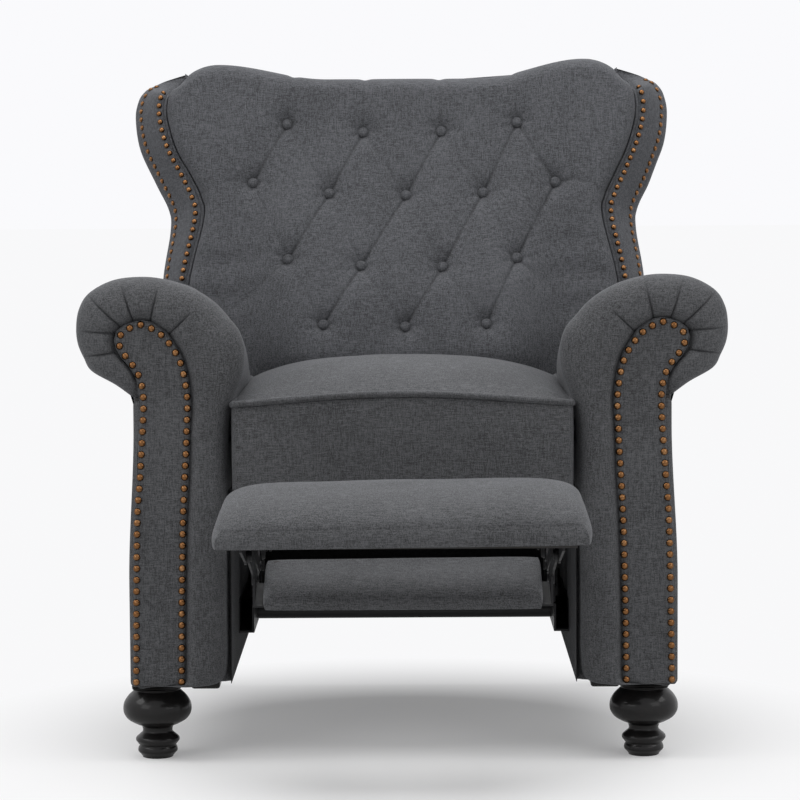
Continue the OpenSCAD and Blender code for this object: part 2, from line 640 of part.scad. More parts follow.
// Creases join each tuft to its neighbours in the next row, and run on to the edges
function near(a, b) = abs(abs(a[0] - b[0]) - tuft_pitch / 2) < 14 && abs(a[1] - b[1]) < tuft_rise * 1.3
  && abs(a[1] - b[1]) > 30;
creases = concat(
  [for (i = [0:len(tufts) - 1], j = [i + 1:len(tufts) - 1]) if (near(tufts[i], tufts[j])) [tufts[i], tufts[j]]],
  [for (t = tufts) if (t[1] > tuft_row + 1.8 * tuft_rise) [t, [t[0] * 1.06, back_peak]]],
  [for (t = tufts) if (t[1] < tuft_row - 0.5 * tuft_rise) [t, [t[0] * 1.1, cushion_low]]],
  [for (t = tufts) if (abs(t[0]) > 1.7 * tuft_pitch) [t, [sign(t[0]) * back_waist, t[1] + 12]]],
  [for (t = tufts) if (abs(t[0]) > 1.3 * tuft_pitch && t[1] < tuft_row + 40) [t, [sign(t[0]) * (room + 80), t[1] - 52]]]);
function to_crease(p, c) = let (d = c[1] - c[0], s = max(0, min(1, (p - c[0]) * d / (d * d)))) norm(p - c[0] - s * d);
function nearest_crease(p) = min([for (c = creases) to_crease(p, c)]);
function nearest_tuft(p) = min([for (t = tufts) norm(p - t)]);
lumbar_top = back_len - 99; // the extra fullness fades out up to here
lumbar_run = 380;
// Depth of the face in front of the core
function back_face(x, w) = let (
    p = [x, w],
    lean_in = lumbar * smooth((room + 2 - abs(x)) / 40) * smooth((lumbar_top - w) / lumbar_run) * smooth((w + 10) / 110),
    edge = 1 - pow(max(0, (abs(x) - inner_half(w) + 60) / 62), 2.2) * 0.35,
    top = 1 - pow(max(0, (w - top_w(x) + 70) / 72), 2) * 0.55,
    low = 1 - pow(max(0, (cushion_low + 46 - w) / 46), 2) * 0.25,
    crease = 1 - exp(-pow(nearest_crease(p) / 17, 1.4)),
    tuft = 1 - exp(-pow(nearest_tuft(p) / 21, 1.6)))
  (back_full + lean_in) * edge * top * low - tuft_depth * (1 - 0.62 * crease - 0.38 * tuft) + 6;

corner_in = 9;              // the upper corners draw in beside the ends of the wing bands
module back_cushion() color(charcoal_light) place() in_back() {
  nx = 33;
  ny = 31;
  face = [for (j = [0:ny]) [for (i = [0:nx]) let (
      u = 2 * i / nx - 1, s = j / ny,
      x0 = u * inner_half(mix(cushion_low, back_len - 3, s)),
      w = mix(cushion_low, top_w(x0), s),
      x = u * (inner_half(min(w, back_len - 3)) - 1 - corner_in * smooth((w - back_len + 30) / 20)))
    [x, core_v[0] - max(10, back_face(x, w)), w]]];
  back = [for (p = rim_points(face)) [p[0] * 0.985, core_v[0] - soft, mix(cushion_low, p[2], 0.985)]];
  cushion(face, back);
}

module back_buttons() color(charcoal) place() in_back()
  for (t = tufts) translate([t[0], core_v[0] - back_face(t[0], t[1]) + 1, t[1]])
    rotate([90, 0, 0]) cylinder(d1 = button_d, d2 = button_d * 0.6, h = 6, $fn = 24);

// Wing bands: strips that face outwards and forwards between the cushion and the outer back
band_front = core_v[0] - 46;
band_rear = core_v[1] - 4;
function band_lines() = let (n = 26) [for (k = [0:n]) let (f = k / n)
  [at_index(inner_line, f * (len(inner_line) - 1)), at_index(outer_line, f * (len(outer_line) - 1))]];
// Inner and outer rim of the band's sloping face, as points across, rearwards and along the back
function band_in(e) = let (q = mix(e[0] + [2, 0], e[1], 0.45)) [q[0], band_front - 2, q[1]];
function band_out(e) = [e[1][0] - 4, band_rear - 10, e[1][1]];
module wing_band() color(charcoal) place() in_back()
  loft([for (e = band_lines()) let (a = e[0] + [2, 0], b = e[1])
    [[a[0], core_v[1], a[1]], [a[0], band_front, a[1]], band_in(e), band_out(e),
      [b[0], band_rear, b[1]], [b[0] - 1, core_v[1], b[1]]]]);

// A point of the sloping face and the face's direction there: at the k-th line, s of the way across
function band_point(lines, k, s) = let (
    across = band_out(lines[k]) - band_in(lines[k]),
    along = band_in(lines[min(k + 1, len(lines) - 1)]) - band_in(lines[max(k - 1, 0)]))
  concat(band_in(lines[k]) + s * across, unit(cross(across, along)));
wing_pitch = 19;
wing_nails_low = 150;       // the nails start this far up the back
nail_sink = 0.8;
module wing_nails() color(bronze) place() in_back() {
  lines = band_lines();
  for (s = [0.3, 0.88], p = spaced([for (k = [0:len(lines) - 1]) band_point(lines, k, s)], wing_pitch))
    if (p[2] > wing_nails_low) translate([p[0] - nail_sink * p[3], p[1] - nail_sink * p[4], p[2] - nail_sink * p[5]])
      rotate([0, acos(p[5]), atan2(p[4], p[3])]) nail(nail_d * 0.95);
}

shell_low = 12;
shell_n = 22;
// A point of the outer back: u from side to side, s from its foot to its top
function shell_point(u, s) = let (
    w0 = mix(shell_low, back_len - 6, s), half = outer_half(min(w0, back_len + 10)),
    w = mix(shell_low, top_w(u * half) - 8, s), x = u * (outer_half(min(w, back_len + 10)) - 1),
    round_v = pow(abs(u), 7) * 0.72 + pow(max(0, (s - 0.86) / 0.14), 2) * 0.5)
  [x, core_v[1] + shell_d * (1 - min(0.85, round_v)) * mix(0.8, 1, sin(150 * s)), w];
shell_face = [for (j = [0:shell_n]) [for (i = [0:shell_n]) shell_point(cos(180 * i / shell_n), j / shell_n)]];
// The middle of the part's footprint lies on the origin
rear_y = max([for (row = shell_face) for (p = row) back_y(p[1], p[2])]);
y_shift = -(front_y + rear_y) / 2;

module outer_back() color(charcoal) place() in_back() {
  difference() {
    cushion(shell_face, [for (p = rim_points(shell_face)) [p[0], core_v[1], p[2]]]);
    // Pockets for the bracket flanges and slots for their gussets
    for (s = [-1, 1]) {
      translate([s * (bracket_x + plate_t - flange_w / 2) - flange_w / 2 - 4, core_v[1] - 1, 0])
        cube([flange_w + 8, plate_t + 2, flange_top + 6]);
      translate([s * (bracket_x + plate_t / 2) - plate_t, core_v[1] - 1, 0])
        cube([2 * plate_t, gusset_v - core_v[1] + 3, gusset_top + 4]);
    }
  }
}

// Footrest mechanism

module drive_link() color(steel_black) place() {
  difference() {
    link([p_drive, p_mid, p_end], 1);
    bore(p_drive, 1);
  }
  rivet(p_mid, 1, 2);
  rivet(p_end, 1, 2);
}

module guide_link() color(steel_black) place() difference() {
  union() {
    link([p_guide, p_tail], 3, link_w - 2);
    side_plate(layer(3), plate_t) translate(side_yz(p_tail)) circle(r = pin_d / 2 + eye_play + 5);
  }
  bore(p_guide, 3);
  // The open eye leaves room for the small error of the coupled turn
  bore(p_tail, 3, pin_d / 2 + eye_play);
}

module rear_long_link() color(steel_black) place() {
  difference() {
    link([p_tail, p_mid, p_rest], 2);
    bore(p_mid, 2);
    bore(p_rest, 2);
  }
  // Pin and wide washer of the guide link's open eye
  pin(side_yz(p_tail), layer(3) - shim - 1.5, layer(2), pin_d / 2);
  pin(side_yz(p_tail), layer(3) - shim - 1.5, layer(3) - shim, pin_d / 2 + eye_play + 4);
}

mid_flange = [-10, 45];
ear_in = 35;
module front_long_link() color(steel_black) place() {
  u = ray(1, mid_a);
  v = ray(1, mid_a + 90);
  difference() {
    union() {
      link([p_end, p_rest2], 2);
      // Ear under the middle pad
      side_plate(layer(2), plate_t) polygon([for (p = [mid_at + mid_flange[0] * u - 3 * v, mid_at + mid_flange[1] * u - 3 * v,
        mid_at + mid_flange[1] * u, p_end + ray(64, long_a), p_end + ray(8, long_a + 90), p_end + ray(9, long_a - 90)]) side_yz(p)]);
    }
    bore(p_end, 2);
    bore(p_rest2, 2);
  }
  on_mid() translate([mid_w / 2 - ear_in, -mid_flange[1], -plate_t])
    cube([layer(2) + plate_t - mid_w / 2 + ear_in, mid_flange[1] - mid_flange[0], plate_t]);
}

// Footrest frame of reference: y runs back along the footrest, z up from its pivots
module on_rest() let (at = side_yz(p_rest)) translate([0, at[0], at[1]]) rotate([-rest_a, 0, 0]) children();
module on_mid() let (at = side_yz(mid_at)) translate([0, at[0], at[1]]) rotate([-mid_a, 0, 0]) children();

module footrest_bracket() color(steel_black) place() {
  u = ray(1, rest_a);
  v = ray(1, rest_a + 90);
  side_plate(layer(1), plate_t) {
    bar2d(side_yz(p_rest), side_yz(p_rest2), link_w + 2);
    // The plate ends inside its flange
    polygon([for (q = [[-10, 0], [-5, rest_up - plate_t / 2], [180, rest_up - plate_t / 2], [180, rest_up - 12],
      [pair_len + 10, -10], [0, -4]]) side_yz(p_rest + q[0] * u + q[1] * v)]);
  }
  rivet(p_rest, 1, 2);
  rivet(p_rest2, 1, 2);
  on_rest() translate([layer(1) - 44, -190, rest_up - plate_t]) cube([44 + plate_t, 196, plate_t]);
}

board_in = 18;
rest_board_t = 10;
module footrest_board() color(wood) place() on_rest()
  translate([-rest_w / 2 + board_in, -(rest_len - rest_back - 12), rest_up])
    cube([rest_w - 2 * board_in, rest_len - 20, rest_board_t]);

// Crown of a flat pad: 1 in the middle, 0 at the rim
function crown(a, b) = pow(max(0, 1 - pow(abs(a), 3)), 0.5) * pow(max(0, 1 - pow(abs(b), 3)), 0.5);
module pad(w, y0, length, z_low, z_rim, z_top, nx, ny) {
  face = [for (j = [0:ny]) [for (i = [0:nx]) let (a = -cos(180 * i / nx), b = -cos(180 * j / ny),
      in_x = 1 - 0.012 * (1 - b * b), in_y = 1 - 0.02 * (1 - a * a))
    [a * w / 2 * in_x, y0 + length / 2 * (1 + b * in_y), z_rim + (z_top - z_rim) * crown(a, b)]]];
  cushion(face, [for (p = rim_points(face)) [p[0] * 0.975, y0 + length / 2 + (p[1] - y0 - length / 2) * 0.955, z_low]]);
}
module footrest_pad() color(charcoal_light) place() on_rest() difference() {
  pad(rest_w, -(rest_len - rest_back), rest_len, rest_up + 1, rest_up + rest_t * 0.5, rest_up + rest_t, 20, 12);
  translate([-rest_w / 2 + board_in - soft, -(rest_len - rest_back - 12) - soft, rest_up - 1])
    cube([rest_w - 2 * board_in + 2 * soft, rest_len - 20 + 2 * soft, rest_board_t + 1 + soft]);
}

mid_board_t = 8;
module middle_board() color(wood) place() on_mid()
  translate([-mid_w / 2 + 12, -mid_len / 2 + 9, 0]) cube([mid_w - 24, mid_len - 18, mid_board_t]);
module middle_pad() color(charcoal) place() on_mid() difference() {
  pad(mid_w, -mid_len / 2, mid_len, 0.5, mid_t * 0.5, mid_t, 14, 8);
  translate([-mid_w / 2 + 12 - soft, -mid_len / 2 + 9 - soft, -1])
    cube([mid_w - 24 + 2 * soft, mid_len - 18 + 2 * soft, mid_board_t + 1 + soft]);
}

left() arm_frame();  // left_arm_frame
arm_frame();  // right_arm_frame
left() arm_pad();  // left_arm_pad
arm_pad();  // right_arm_pad
left() arm_side();  // left_arm_side
arm_side();  // right_arm_side
left() arm_facing();  // left_arm_facing
arm_facing();  // right_arm_facing
left() arm_nails();  // left_arm_nails
arm_nails();  // right_arm_nails
left() front_foot();  // left_front_foot
front_foot();  // right_front_foot
left() rear_leg();  // left_rear_leg
rear_leg();  // right_rear_leg
rear_rail();
rear_cover();
left() base_rail();  // left_base_rail
base_rail();  // right_base_rail
cross_tube(swing_front_y + 40);  // front_cross_tube
cross_tube(swing_rear_y + 20);  // rear_cross_tube
left() swing(swing_front_y);  // left_front_swing
swing(swing_front_y);  // right_front_swing
left() swing(swing_rear_y);  // left_rear_swing
swing(swing_rear_y);  // right_rear_swing
left() seat_plate();  // left_seat_plate
seat_plate();  // right_seat_plate
seat_frame();
seat_springs();
seat_cushion();
seat_border();
seat_welt();
left() back_bracket();  // left_back_bracket
back_bracket();  // right_back_bracket
back_core();
outer_back();
back_cushion();
back_buttons();
left() wing_band();  // left_wing_band
wing_band();  // right_wing_band
left() wing_nails();  // left_wing_nails
wing_nails();  // right_wing_nails
left() drive_link();  // left_drive_link
drive_link();  // right_drive_link
left() guide_link();  // left_guide_link
guide_link();  // right_guide_link
left() rear_long_link();  // left_rear_long_link
rear_long_link();  // right_rear_long_link
left() front_long_link();  // left_front_long_link
front_long_link();  // right_front_long_link
left() footrest_bracket();  // left_footrest_bracket
footrest_bracket();  // right_footrest_bracket
footrest_board();
footrest_pad();
middle_board();
middle_pad();
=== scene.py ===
import math

import bmesh
import bpy
import numpy as np
from mathutils import Matrix, Vector


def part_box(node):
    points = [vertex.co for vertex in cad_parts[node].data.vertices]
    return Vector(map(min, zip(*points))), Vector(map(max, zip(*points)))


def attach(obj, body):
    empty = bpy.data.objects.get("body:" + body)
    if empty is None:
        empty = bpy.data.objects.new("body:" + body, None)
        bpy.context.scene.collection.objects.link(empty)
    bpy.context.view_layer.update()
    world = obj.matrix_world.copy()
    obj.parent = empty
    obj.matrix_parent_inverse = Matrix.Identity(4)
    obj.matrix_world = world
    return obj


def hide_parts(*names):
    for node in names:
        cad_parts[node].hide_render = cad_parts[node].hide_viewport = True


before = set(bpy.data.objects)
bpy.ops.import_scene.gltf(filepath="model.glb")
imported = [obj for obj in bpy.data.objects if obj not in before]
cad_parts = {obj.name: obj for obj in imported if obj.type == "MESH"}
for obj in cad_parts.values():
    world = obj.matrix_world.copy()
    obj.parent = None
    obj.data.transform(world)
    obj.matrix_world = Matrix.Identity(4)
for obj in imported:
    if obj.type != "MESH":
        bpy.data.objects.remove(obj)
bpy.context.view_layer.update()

# Looks of the push-back recliner: covers, nails, turned feet, finishes, floor, light and camera.
# Shapes are worked out in millimetres, with y = 0 at the fronts of the arms, and placed in metres.
# "left" and "right" are as seen from the front.
ARM_FRONT_Y = 1000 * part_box("right_arm_side")[0][1]
SIDES = {"right": 1, "left": -1}

# Recline pivot (y and z) and lean of the back
RECLINE = (600, 410)
LEAN = math.radians(16)
# Underside of the base, and inner faces of the arms
BASE_LOW = 107
ARM_INNER = 239.6
# Seat: half width, depth of the cushion and height of its crown; heights of the border's lower edge, the
# frame's top and the cushion's front edge
SEAT_HALF = 234
SEAT_DEPTH = 508
SEAT_CROWN = 53
SEAT_LOW = 378.5
SEAT_TOP = 430
SEAT_EDGE = 497.5
# Back, from the recline pivot: length along it, front and rear face of its wooden core
BACK_LENGTH = 569
CORE_FRONT = -8
CORE_REAR = 10


# Curves and grids

def held(s):
    """The value s held between 0 and 1."""
    return np.clip(s, 0, 1)


def smooth(s):
    """3t^2 - 2t^3, with t the value s held between 0 and 1."""
    t = held(s)
    return t * t * (3 - 2 * t)


def near(distance, reach):
    """One at distance 0, falling by the square to 0 at the reach."""
    return held(1 - distance / reach) ** 2


def bell(distance, width, power=2):
    """e to the minus (distance / width) to the power."""
    return np.exp(-(distance / width) ** power)


def quarter(count):
    """Even angles from 0 to a right angle."""
    return np.linspace(0, np.pi / 2, count)


def crowded(count):
    """Numbers from -1 to 1, closer together at the ends by a sine."""
    return np.sin(np.pi / 2 * np.linspace(-1, 1, count))


def mix(a, b, s):
    """The value s of the way from a to b."""
    return a + (b - a) * s


def curve(points, steps):
    """Catmull-Rom curve: between two points a cubic whose slopes are half the chords of the neighbours."""
    p = np.asarray(points, float)
    ends = np.vstack([p[:1], p, p[-1:]])
    t = (np.arange(steps) / steps)[None, :, None]
    a, b, c, d = (ends[i:len(p) - 1 + i, None, :] for i in range(4))
    inner = b + 0.5 * t * (c - a + t * (2 * a - 5 * b + 4 * c - d + t * (3 * (b - c) + d - a)))
    return np.vstack([inner.reshape(-1, p.shape[1]), p[-1:]])


def evenly(points, count, keys=slice(None)):
    """Points at equal distances along a path, both ends kept; distance is taken in the columns of keys."""
    step = np.linalg.norm(np.diff(points[:, keys], axis=0), axis=1)
    run = np.concatenate([[0], np.cumsum(step)])
    at = np.linspace(0, run[-1], count)
    return np.stack([np.interp(at, run, points[:, k]) for k in range(points.shape[1])], 1)


def unit(v):
    """Each row divided by its length."""
    return v / np.maximum(np.linalg.norm(v, axis=-1, keepdims=True), 1e-9)


def to_segments(points, segments):
    """Distance from each 2-D point to each segment, and how far along the segment the nearest place is."""
    start = segments[:, 0]
    chord = segments[:, 1] - start
    rel = points[..., None, :] - start
    s = held((rel * chord).sum(-1) / (chord * chord).sum(-1))
    return np.linalg.norm(rel - s[..., None] * chord, axis=-1), s


def grid_faces(rows, cols, around=False):
    """Four-sided faces of a grid of rows times cols points; around joins the last column to the first."""
    i = np.arange(rows - 1)[:, None]
    j = np.arange(cols if around else cols - 1)[None, :]
    a = i * cols + j
    b = i * cols + (j + 1) % cols
    return np.stack([a, b, b + cols, a + cols], -1).reshape(-1, 4)


def rim_of(rows, cols):
    """Indices of the rim of a grid, once round."""
    top = np.arange(cols)
    right = np.arange(1, rows) * cols + cols - 1
    low = (rows - 1) * cols + np.arange(cols - 2, -1, -1)
    left = np.arange(rows - 2, 0, -1) * cols
    return np.concatenate([top, right, low, left])


def grid_of(*parts):
    """Points from coordinates that may be grids, rows, columns or single numbers."""
    return np.stack(np.broadcast_arrays(*parts), -1)


def rim_points(grid):
    """The points of a grid's rim, once round."""
    return grid.reshape(-1, grid.shape[-1])[rim_of(*grid.shape[:2])]


def finish_mesh(name, points, faces, cloth, closed=True, folds=None):
    """A piece from points in millimetres. Closed shapes are welded and turned outwards. The optional
    per-point values become a painted-shade attribute that darkens the material: 0 on open cloth or a nail's
    crown, 1 in the bottom of a crease or at a nail's rim."""
    mesh = bpy.data.meshes.new(name)
    where = points * 0.001 + np.array([0, ARM_FRONT_Y * 0.001, 0])
    mesh.from_pydata(where.tolist(), [], faces)
    # painted shade: per-point darkening kept as a mesh attribute for the materials
    if folds is not None:
        mark = mesh.attributes.new("fold", "FLOAT", "POINT")
        mark.data.foreach_set("value", held(folds).astype(np.float32))
    if closed:
        work = bmesh.new()
        work.from_mesh(mesh)
        bmesh.ops.remove_doubles(work, verts=work.verts, dist=2e-6)
        bmesh.ops.recalc_face_normals(work, faces=work.faces)
        work.to_mesh(mesh)
        work.free()
    mesh.polygons.foreach_set("use_smooth", np.ones(len(mesh.polygons), bool))
    mesh.materials.append(cloth)
    mesh.update()
    piece = bpy.data.objects.new(name, mesh)
    bpy.context.scene.collection.objects.link(piece)
    return piece


def loft(name, rings, cloth, folds=None):
    """A closed solid through rings of equally many points, each end closed by a fan round its middle."""
    m, n = rings.shape[:2]
    first = np.arange(n)
    after = (first + 1) % n
    last = (m - 1) * n
    faces = grid_faces(m, n, around=True).tolist()
    for hub, ends in ((m * n, (after, first)), (m * n + 1, (last + first, last + after))):
        faces += np.stack([*ends, np.full(n, hub)], 1).tolist()
    points = np.vstack([rings.reshape(-1, 3), rings[0].mean(0), rings[-1].mean(0)])
    shade_marks = None if folds is None else np.append(folds, [0, 0])
    return finish_mesh(name, points, faces, cloth, folds=shade_marks)


def pillow(name, face, base, cloth, wall, bulge, folds=None):
    """A closed cushion: a grid for its face, a wall from the face's rim to the base's rim that stands out by
    bulge times the sine of the way down, and a fan for its flat back."""
    rows, cols = face.shape[:2]
    rim = rim_of(rows, cols)
    edge = rim_points(face)
    axis = unit(base.mean(0) - edge.mean(0))
    away = edge - edge.mean(0)
    away = unit(away - (away @ axis)[:, None] * axis)
    down = (np.arange(1, wall + 1) / wall)[:, None, None]
    walls = mix(edge, base, down) + away * bulge * np.sin(np.pi * down)
    count, first = len(rim), rows * cols
    after = (np.arange(count) + 1) % count
    levels = [rim] + [first + k * count + np.arange(count) for k in range(wall)]
    faces = grid_faces(rows, cols).tolist()
    for upper, lower in zip(levels[:-1], levels[1:]):
        faces += np.stack([upper, upper[after], lower[after], lower], 1).tolist()
    faces += np.stack([levels[-1], levels[-1][after], np.full(count, first + wall * count)], 1).tolist()
    points = np.vstack([face.reshape(-1, 3), walls.reshape(-1, 3), base.mean(0)])
    shade_marks = None if folds is None else np.append(folds, np.zeros(wall * count + 1))
    return finish_mesh(name, points, faces, cloth, folds=shade_marks)


def panel(name, grid, thick, cloth):
    """A sheet of cloth: the grid is its outer face, and thick its thickness inwards in millimetres."""
    faces = grid_faces(*grid.shape[:2]).tolist()
    piece = finish_mesh(name, grid.reshape(-1, 3), faces, cloth, closed=False)
    shell = piece.modifiers.new("thickness", "SOLIDIFY")
    shell.thickness = thick * 0.001
    shell.offset = -1
    return piece


def welt(name, path, radius, across, cloth, sides=12):
    """A piped cord: a circle carried along a path. across is a direction that the path never runs along."""
    run = unit(np.gradient(path, axis=0))
    side = unit(np.cross(run, np.asarray(across, float)))
    up = np.cross(side, run)
    a = (np.arange(sides) * 2 * np.pi / sides)[None, :, None]
    rings = path[:, None] + radius * (np.cos(a) * side[:, None] + np.sin(a) * up[:, None])
    return loft(name, rings, cloth)


# Depth of a nail's skirt, as a share of its height
NAIL_SKIRT = 0.35


def domes(name, places, normals, radius, height, metal, sides=12, rings=4):
    """Nail heads: domes whose height falls as the root of one minus the squared distance, each with a short
    straight skirt sunk in the cloth. normals are the ways they face. Each dome gets painted shade that rises
    with the depth below the crown: darkest at the rim, none at the crown."""
    r = np.append(1, np.cos(quarter(rings))) * radius
    h = np.append(-NAIL_SKIRT, np.sin(quarter(rings))) * height
    ring = np.arange(sides)
    turn = ring * 2 * np.pi / sides
    n = unit(normals)
    side = unit(np.cross(n, np.array([0.13, 0.21, 1])))
    up = np.cross(n, side)
    disc = side[:, None] * np.cos(turn)[None, :, None] + up[:, None] * np.sin(turn)[None, :, None]
    levels = places[:, None, None] + disc[:, None] * r[None, :, None, None]
    levels = levels + n[:, None, None] * h[None, :, None, None]
    per = (rings + 1) * sides + 1
    walls = grid_faces(rings + 1, sides, around=True)
    cap = np.stack([(ring + 1) % sides, ring, np.full(sides, per - 1)], 1)
    base = places - n * NAIL_SKIRT * height
    points = np.concatenate([levels.reshape(len(places), -1, 3), base[:, None]], 1)
    faces = []
    for first in range(0, len(places) * per, per):
        faces += (walls + first).tolist() + (cap + first).tolist()
    # painted shade: full at the skirt and rim, falling to none at the crown
    shade_marks = np.append(np.repeat(held(1 - h / height), sides), 1)
    return finish_mesh(name, points.reshape(-1, 3), faces, metal, folds=np.tile(shade_marks, len(places)))


def flat_pad(name, hand, grid, axis, value, cloth):
    """A stiff pad: straight walls run from the grid's rim to a flat back at the value on the axis."""
    base = rim_points(grid)
    base[:, axis] = value
    return pillow(name, mirrored(grid, hand), mirrored(base, hand), cloth, wall=2, bulge=0)


def mirrored(points, hand):
    """Points of the right side, or their mirror image across the middle for hand = -1."""
    return points * np.array([hand, 1, 1])


def at_pitch(points, pitch, keys=slice(None)):
    """Points along a path at the pitch, made to fit a whole number of times."""
    length = np.linalg.norm(np.diff(points[:, keys], axis=0), axis=1).sum()
    return evenly(points, int(round(length / pitch)) + 1, keys)


def tilted(origin, slope):
    """Gives the move from a frame with its origin (y, z) and slope to the chair's own x, y and z."""
    c, s = math.cos(slope), math.sin(slope)

    def placed(points):
        x, y, z = np.moveaxis(points, -1, 0)
        return grid_of(x, origin[0] + y * c - z * s, origin[1] + y * s + z * c)
    return placed


ON_BACK = tilted(RECLINE, -LEAN)


def in_back(points):
    """From x, v rearwards and w along the back, measured from the recline pivot. As in the photograph, the
    upper right corner sits 6.5 mm higher and its edge up to 3 mm further in."""
    x, v, w = np.moveaxis(points, -1, 0)
    lift = 6.5 * smooth((x - 120) / 170) * smooth((w - 480) / 75)
    shift = (1.5 - 4.5 * smooth((w - 385) / 60)) * smooth((x - 150) / 150)
    return ON_BACK(grid_of(x + shift, v, w + lift))


# Materials

class Net:
    """Adds nodes to a tree. Inputs go by name or number, each a constant or another node's output."""

    def __init__(self, tree):
        self.tree = tree

    def feed(self, node, inputs):
        for key, value in inputs.items():
            if isinstance(value, bpy.types.NodeSocket):
                self.tree.links.new(value, node.inputs[key])
            else:
                node.inputs[key].default_value = value

    def add(self, kind, inputs=None, **settings):
        node = self.tree.nodes.new(kind if kind.startswith("NodeGroup") else "ShaderNode" + kind)
        for key, value in settings.items():
            setattr(node, key, value)
        self.feed(node, inputs or {})
        return node

    def math(self, operation, a, b, clamp=False):
        return self.add("Math", {0: a, 1: b}, operation=operation, use_clamp=clamp).outputs[0]

    def scaled(self, vector, scale):
        return self.add("VectorMath", {0: vector, 1: scale}, operation="MULTIPLY").outputs[0]

    def noise(self, vector, scale, detail=2, rough=0.5):
        inputs = {"Vector": vector, "Scale": scale, "Detail": detail, "Roughness": rough}
        return self.add("TexNoise", inputs).outputs["Fac"]

    def between(self, value, low, high, out_low=0, out_high=1):
        return self.add("MapRange", {0: value, 1: low, 2: high, 3: out_low, 4: out_high}).outputs[0]

    def blend(self, fac, a, b):
        return self.add("Mix", {0: fac, 6: a, 7: b}, data_type="RGBA").outputs[2]

    def mixed(self, fac, a, b):
        return self.add("MixShader", {0: fac, 1: a.outputs[0], 2: b.outputs[0]}).outputs[0]


def new_group(name, inputs, outputs):
    """A shader node group with (label, kind) sockets, a net of its nodes, its inputs and its output node."""
    group = bpy.data.node_groups.new(name, "ShaderNodeTree")
    for way, sockets in (("INPUT", inputs), ("OUTPUT", outputs)):
        for label, kind in sockets:
            group.interface.new_socket(label, in_out=way, socket_type="NodeSocket" + kind)
    net = Net(group)
    return group, net, net.add("NodeGroupInput").outputs, net.add("NodeGroupOutput")


def build_linen():
    """Linen weave: fine streaks of light and dark yarn in three directions, slubs and a slow change of shade.
    Height is the streaks' sum, and painted shade darkens the cloth towards near black where the shade input
    rises."""
    group, net, given, out = new_group(
        "linen weave", (("Vector", "Vector"), ("Dark", "Color"), ("Light", "Color"), ("Fold", "Float")),
        (("Color", "Color"), ("Height", "Float"), ("Roughness", "Float")))
    vector = given["Vector"]
    yarns = [net.noise(net.scaled(vector, scale), 1, 2, 0.65)
             for scale in ((95, 780, 780), (780, 95, 780), (760, 760, 90))]
    total = net.math("ADD", net.math("ADD", yarns[0], yarns[1]), yarns[2])
    heather = net.noise(vector, 1300, 1, 0.6)
    grain = net.math("ADD", net.math("MULTIPLY", total, 0.8), net.math("MULTIPLY", heather, 0.6))
    streak = net.between(grain, 1.28, 1.72)
    slub = net.between(net.noise(net.scaled(vector, (60, 60, 420)), 1, 1), 0.62, 0.74, 0, 0.35)
    slow = net.between(net.noise(vector, 9, 2), 0.3, 0.7, -0.10, 0.10)
    share = net.math("ADD", net.math("ADD", streak, slow), slub, clamp=True)
    shade = net.blend(share, given["Dark"], given["Light"])
    # painted shade in creases and at rims: up to 62 % of the way to near black
    depth = net.between(given["Fold"], 0, 1, 0, 0.62)
    net.feed(out, {"Color": net.blend(depth, shade, (0.012, 0.012, 0.013, 1)), "Height": total,
                   "Roughness": net.between(total, 1.2, 1.8, 0.96, 0.84)})
    return group


def build_worn():
    """Worn finish: blotches and fine scratches. Mask is Amount where the finish is rubbed, else 0."""
    group, net, given, out = new_group("worn finish", (("Vector", "Vector"), ("Amount", "Float")),
                                       (("Mask", "Float"), ("Roughness", "Float"), ("Height", "Float")))
    vector = given["Vector"]
    blotch = net.noise(vector, 55, 4, 0.6)
    scratch = net.noise(net.scaled(vector, (40, 900, 900)), 1, 2, 0.6)
    rubbed = net.between(net.math("MULTIPLY", blotch, scratch), 0.27, 0.36)
    net.feed(out, {"Mask": net.math("MULTIPLY", rubbed, given["Amount"], clamp=True),
                   "Roughness": net.between(blotch, 0.3, 0.7, 0.34, 0.55),
                   "Height": net.math("ADD", blotch, net.math("MULTIPLY", scratch, 0.4))})
    return group


LINEN = build_linen()
WORN = build_worn()


def base_material(name):
    """A new material with its Principled shader, a net of nodes and the Object coordinates."""
    material = bpy.data.materials.new(name)
    material.use_nodes = True
    net = Net(material.node_tree)
    shader = material.node_tree.nodes["Principled BSDF"]
    place = net.add("TexCoord").outputs["Object"]
    return material, net, shader, place


def bump(net, height, strength, distance):
    """The normal that a height gives through a Bump node, the distance in metres."""
    return net.add("Bump", {"Strength": strength, "Distance": distance, "Height": height}).outputs[0]


def linen(name, dark, light, lean=0):
    """Upholstery linen, with its yarns turned by lean about the x axis."""
    material, net, shader, place = base_material(name)
    turned = net.add("Mapping", {"Vector": place, "Rotation": (lean, 0, 0)}).outputs[0]
    # painted shade in creases and at button rims, read from each piece's attribute
    fold = net.add("Attribute", attribute_name="fold").outputs["Fac"]
    inputs = {"Vector": turned, "Dark": (*dark, 1), "Light": (*light, 1), "Fold": fold}
    cloth = net.add("Group", inputs, node_tree=LINEN)
    net.feed(shader, {
        "Base Color": cloth.outputs["Color"], "Roughness": cloth.outputs["Roughness"], "Sheen Weight": 0.12,
        "Sheen Roughness": 0.45, "Sheen Tint": (0.75, 0.77, 0.82, 1), "Specular IOR Level": 0.25,
        "Normal": bump(net, cloth.outputs["Height"], 0.5, 0.0005)})
    return material


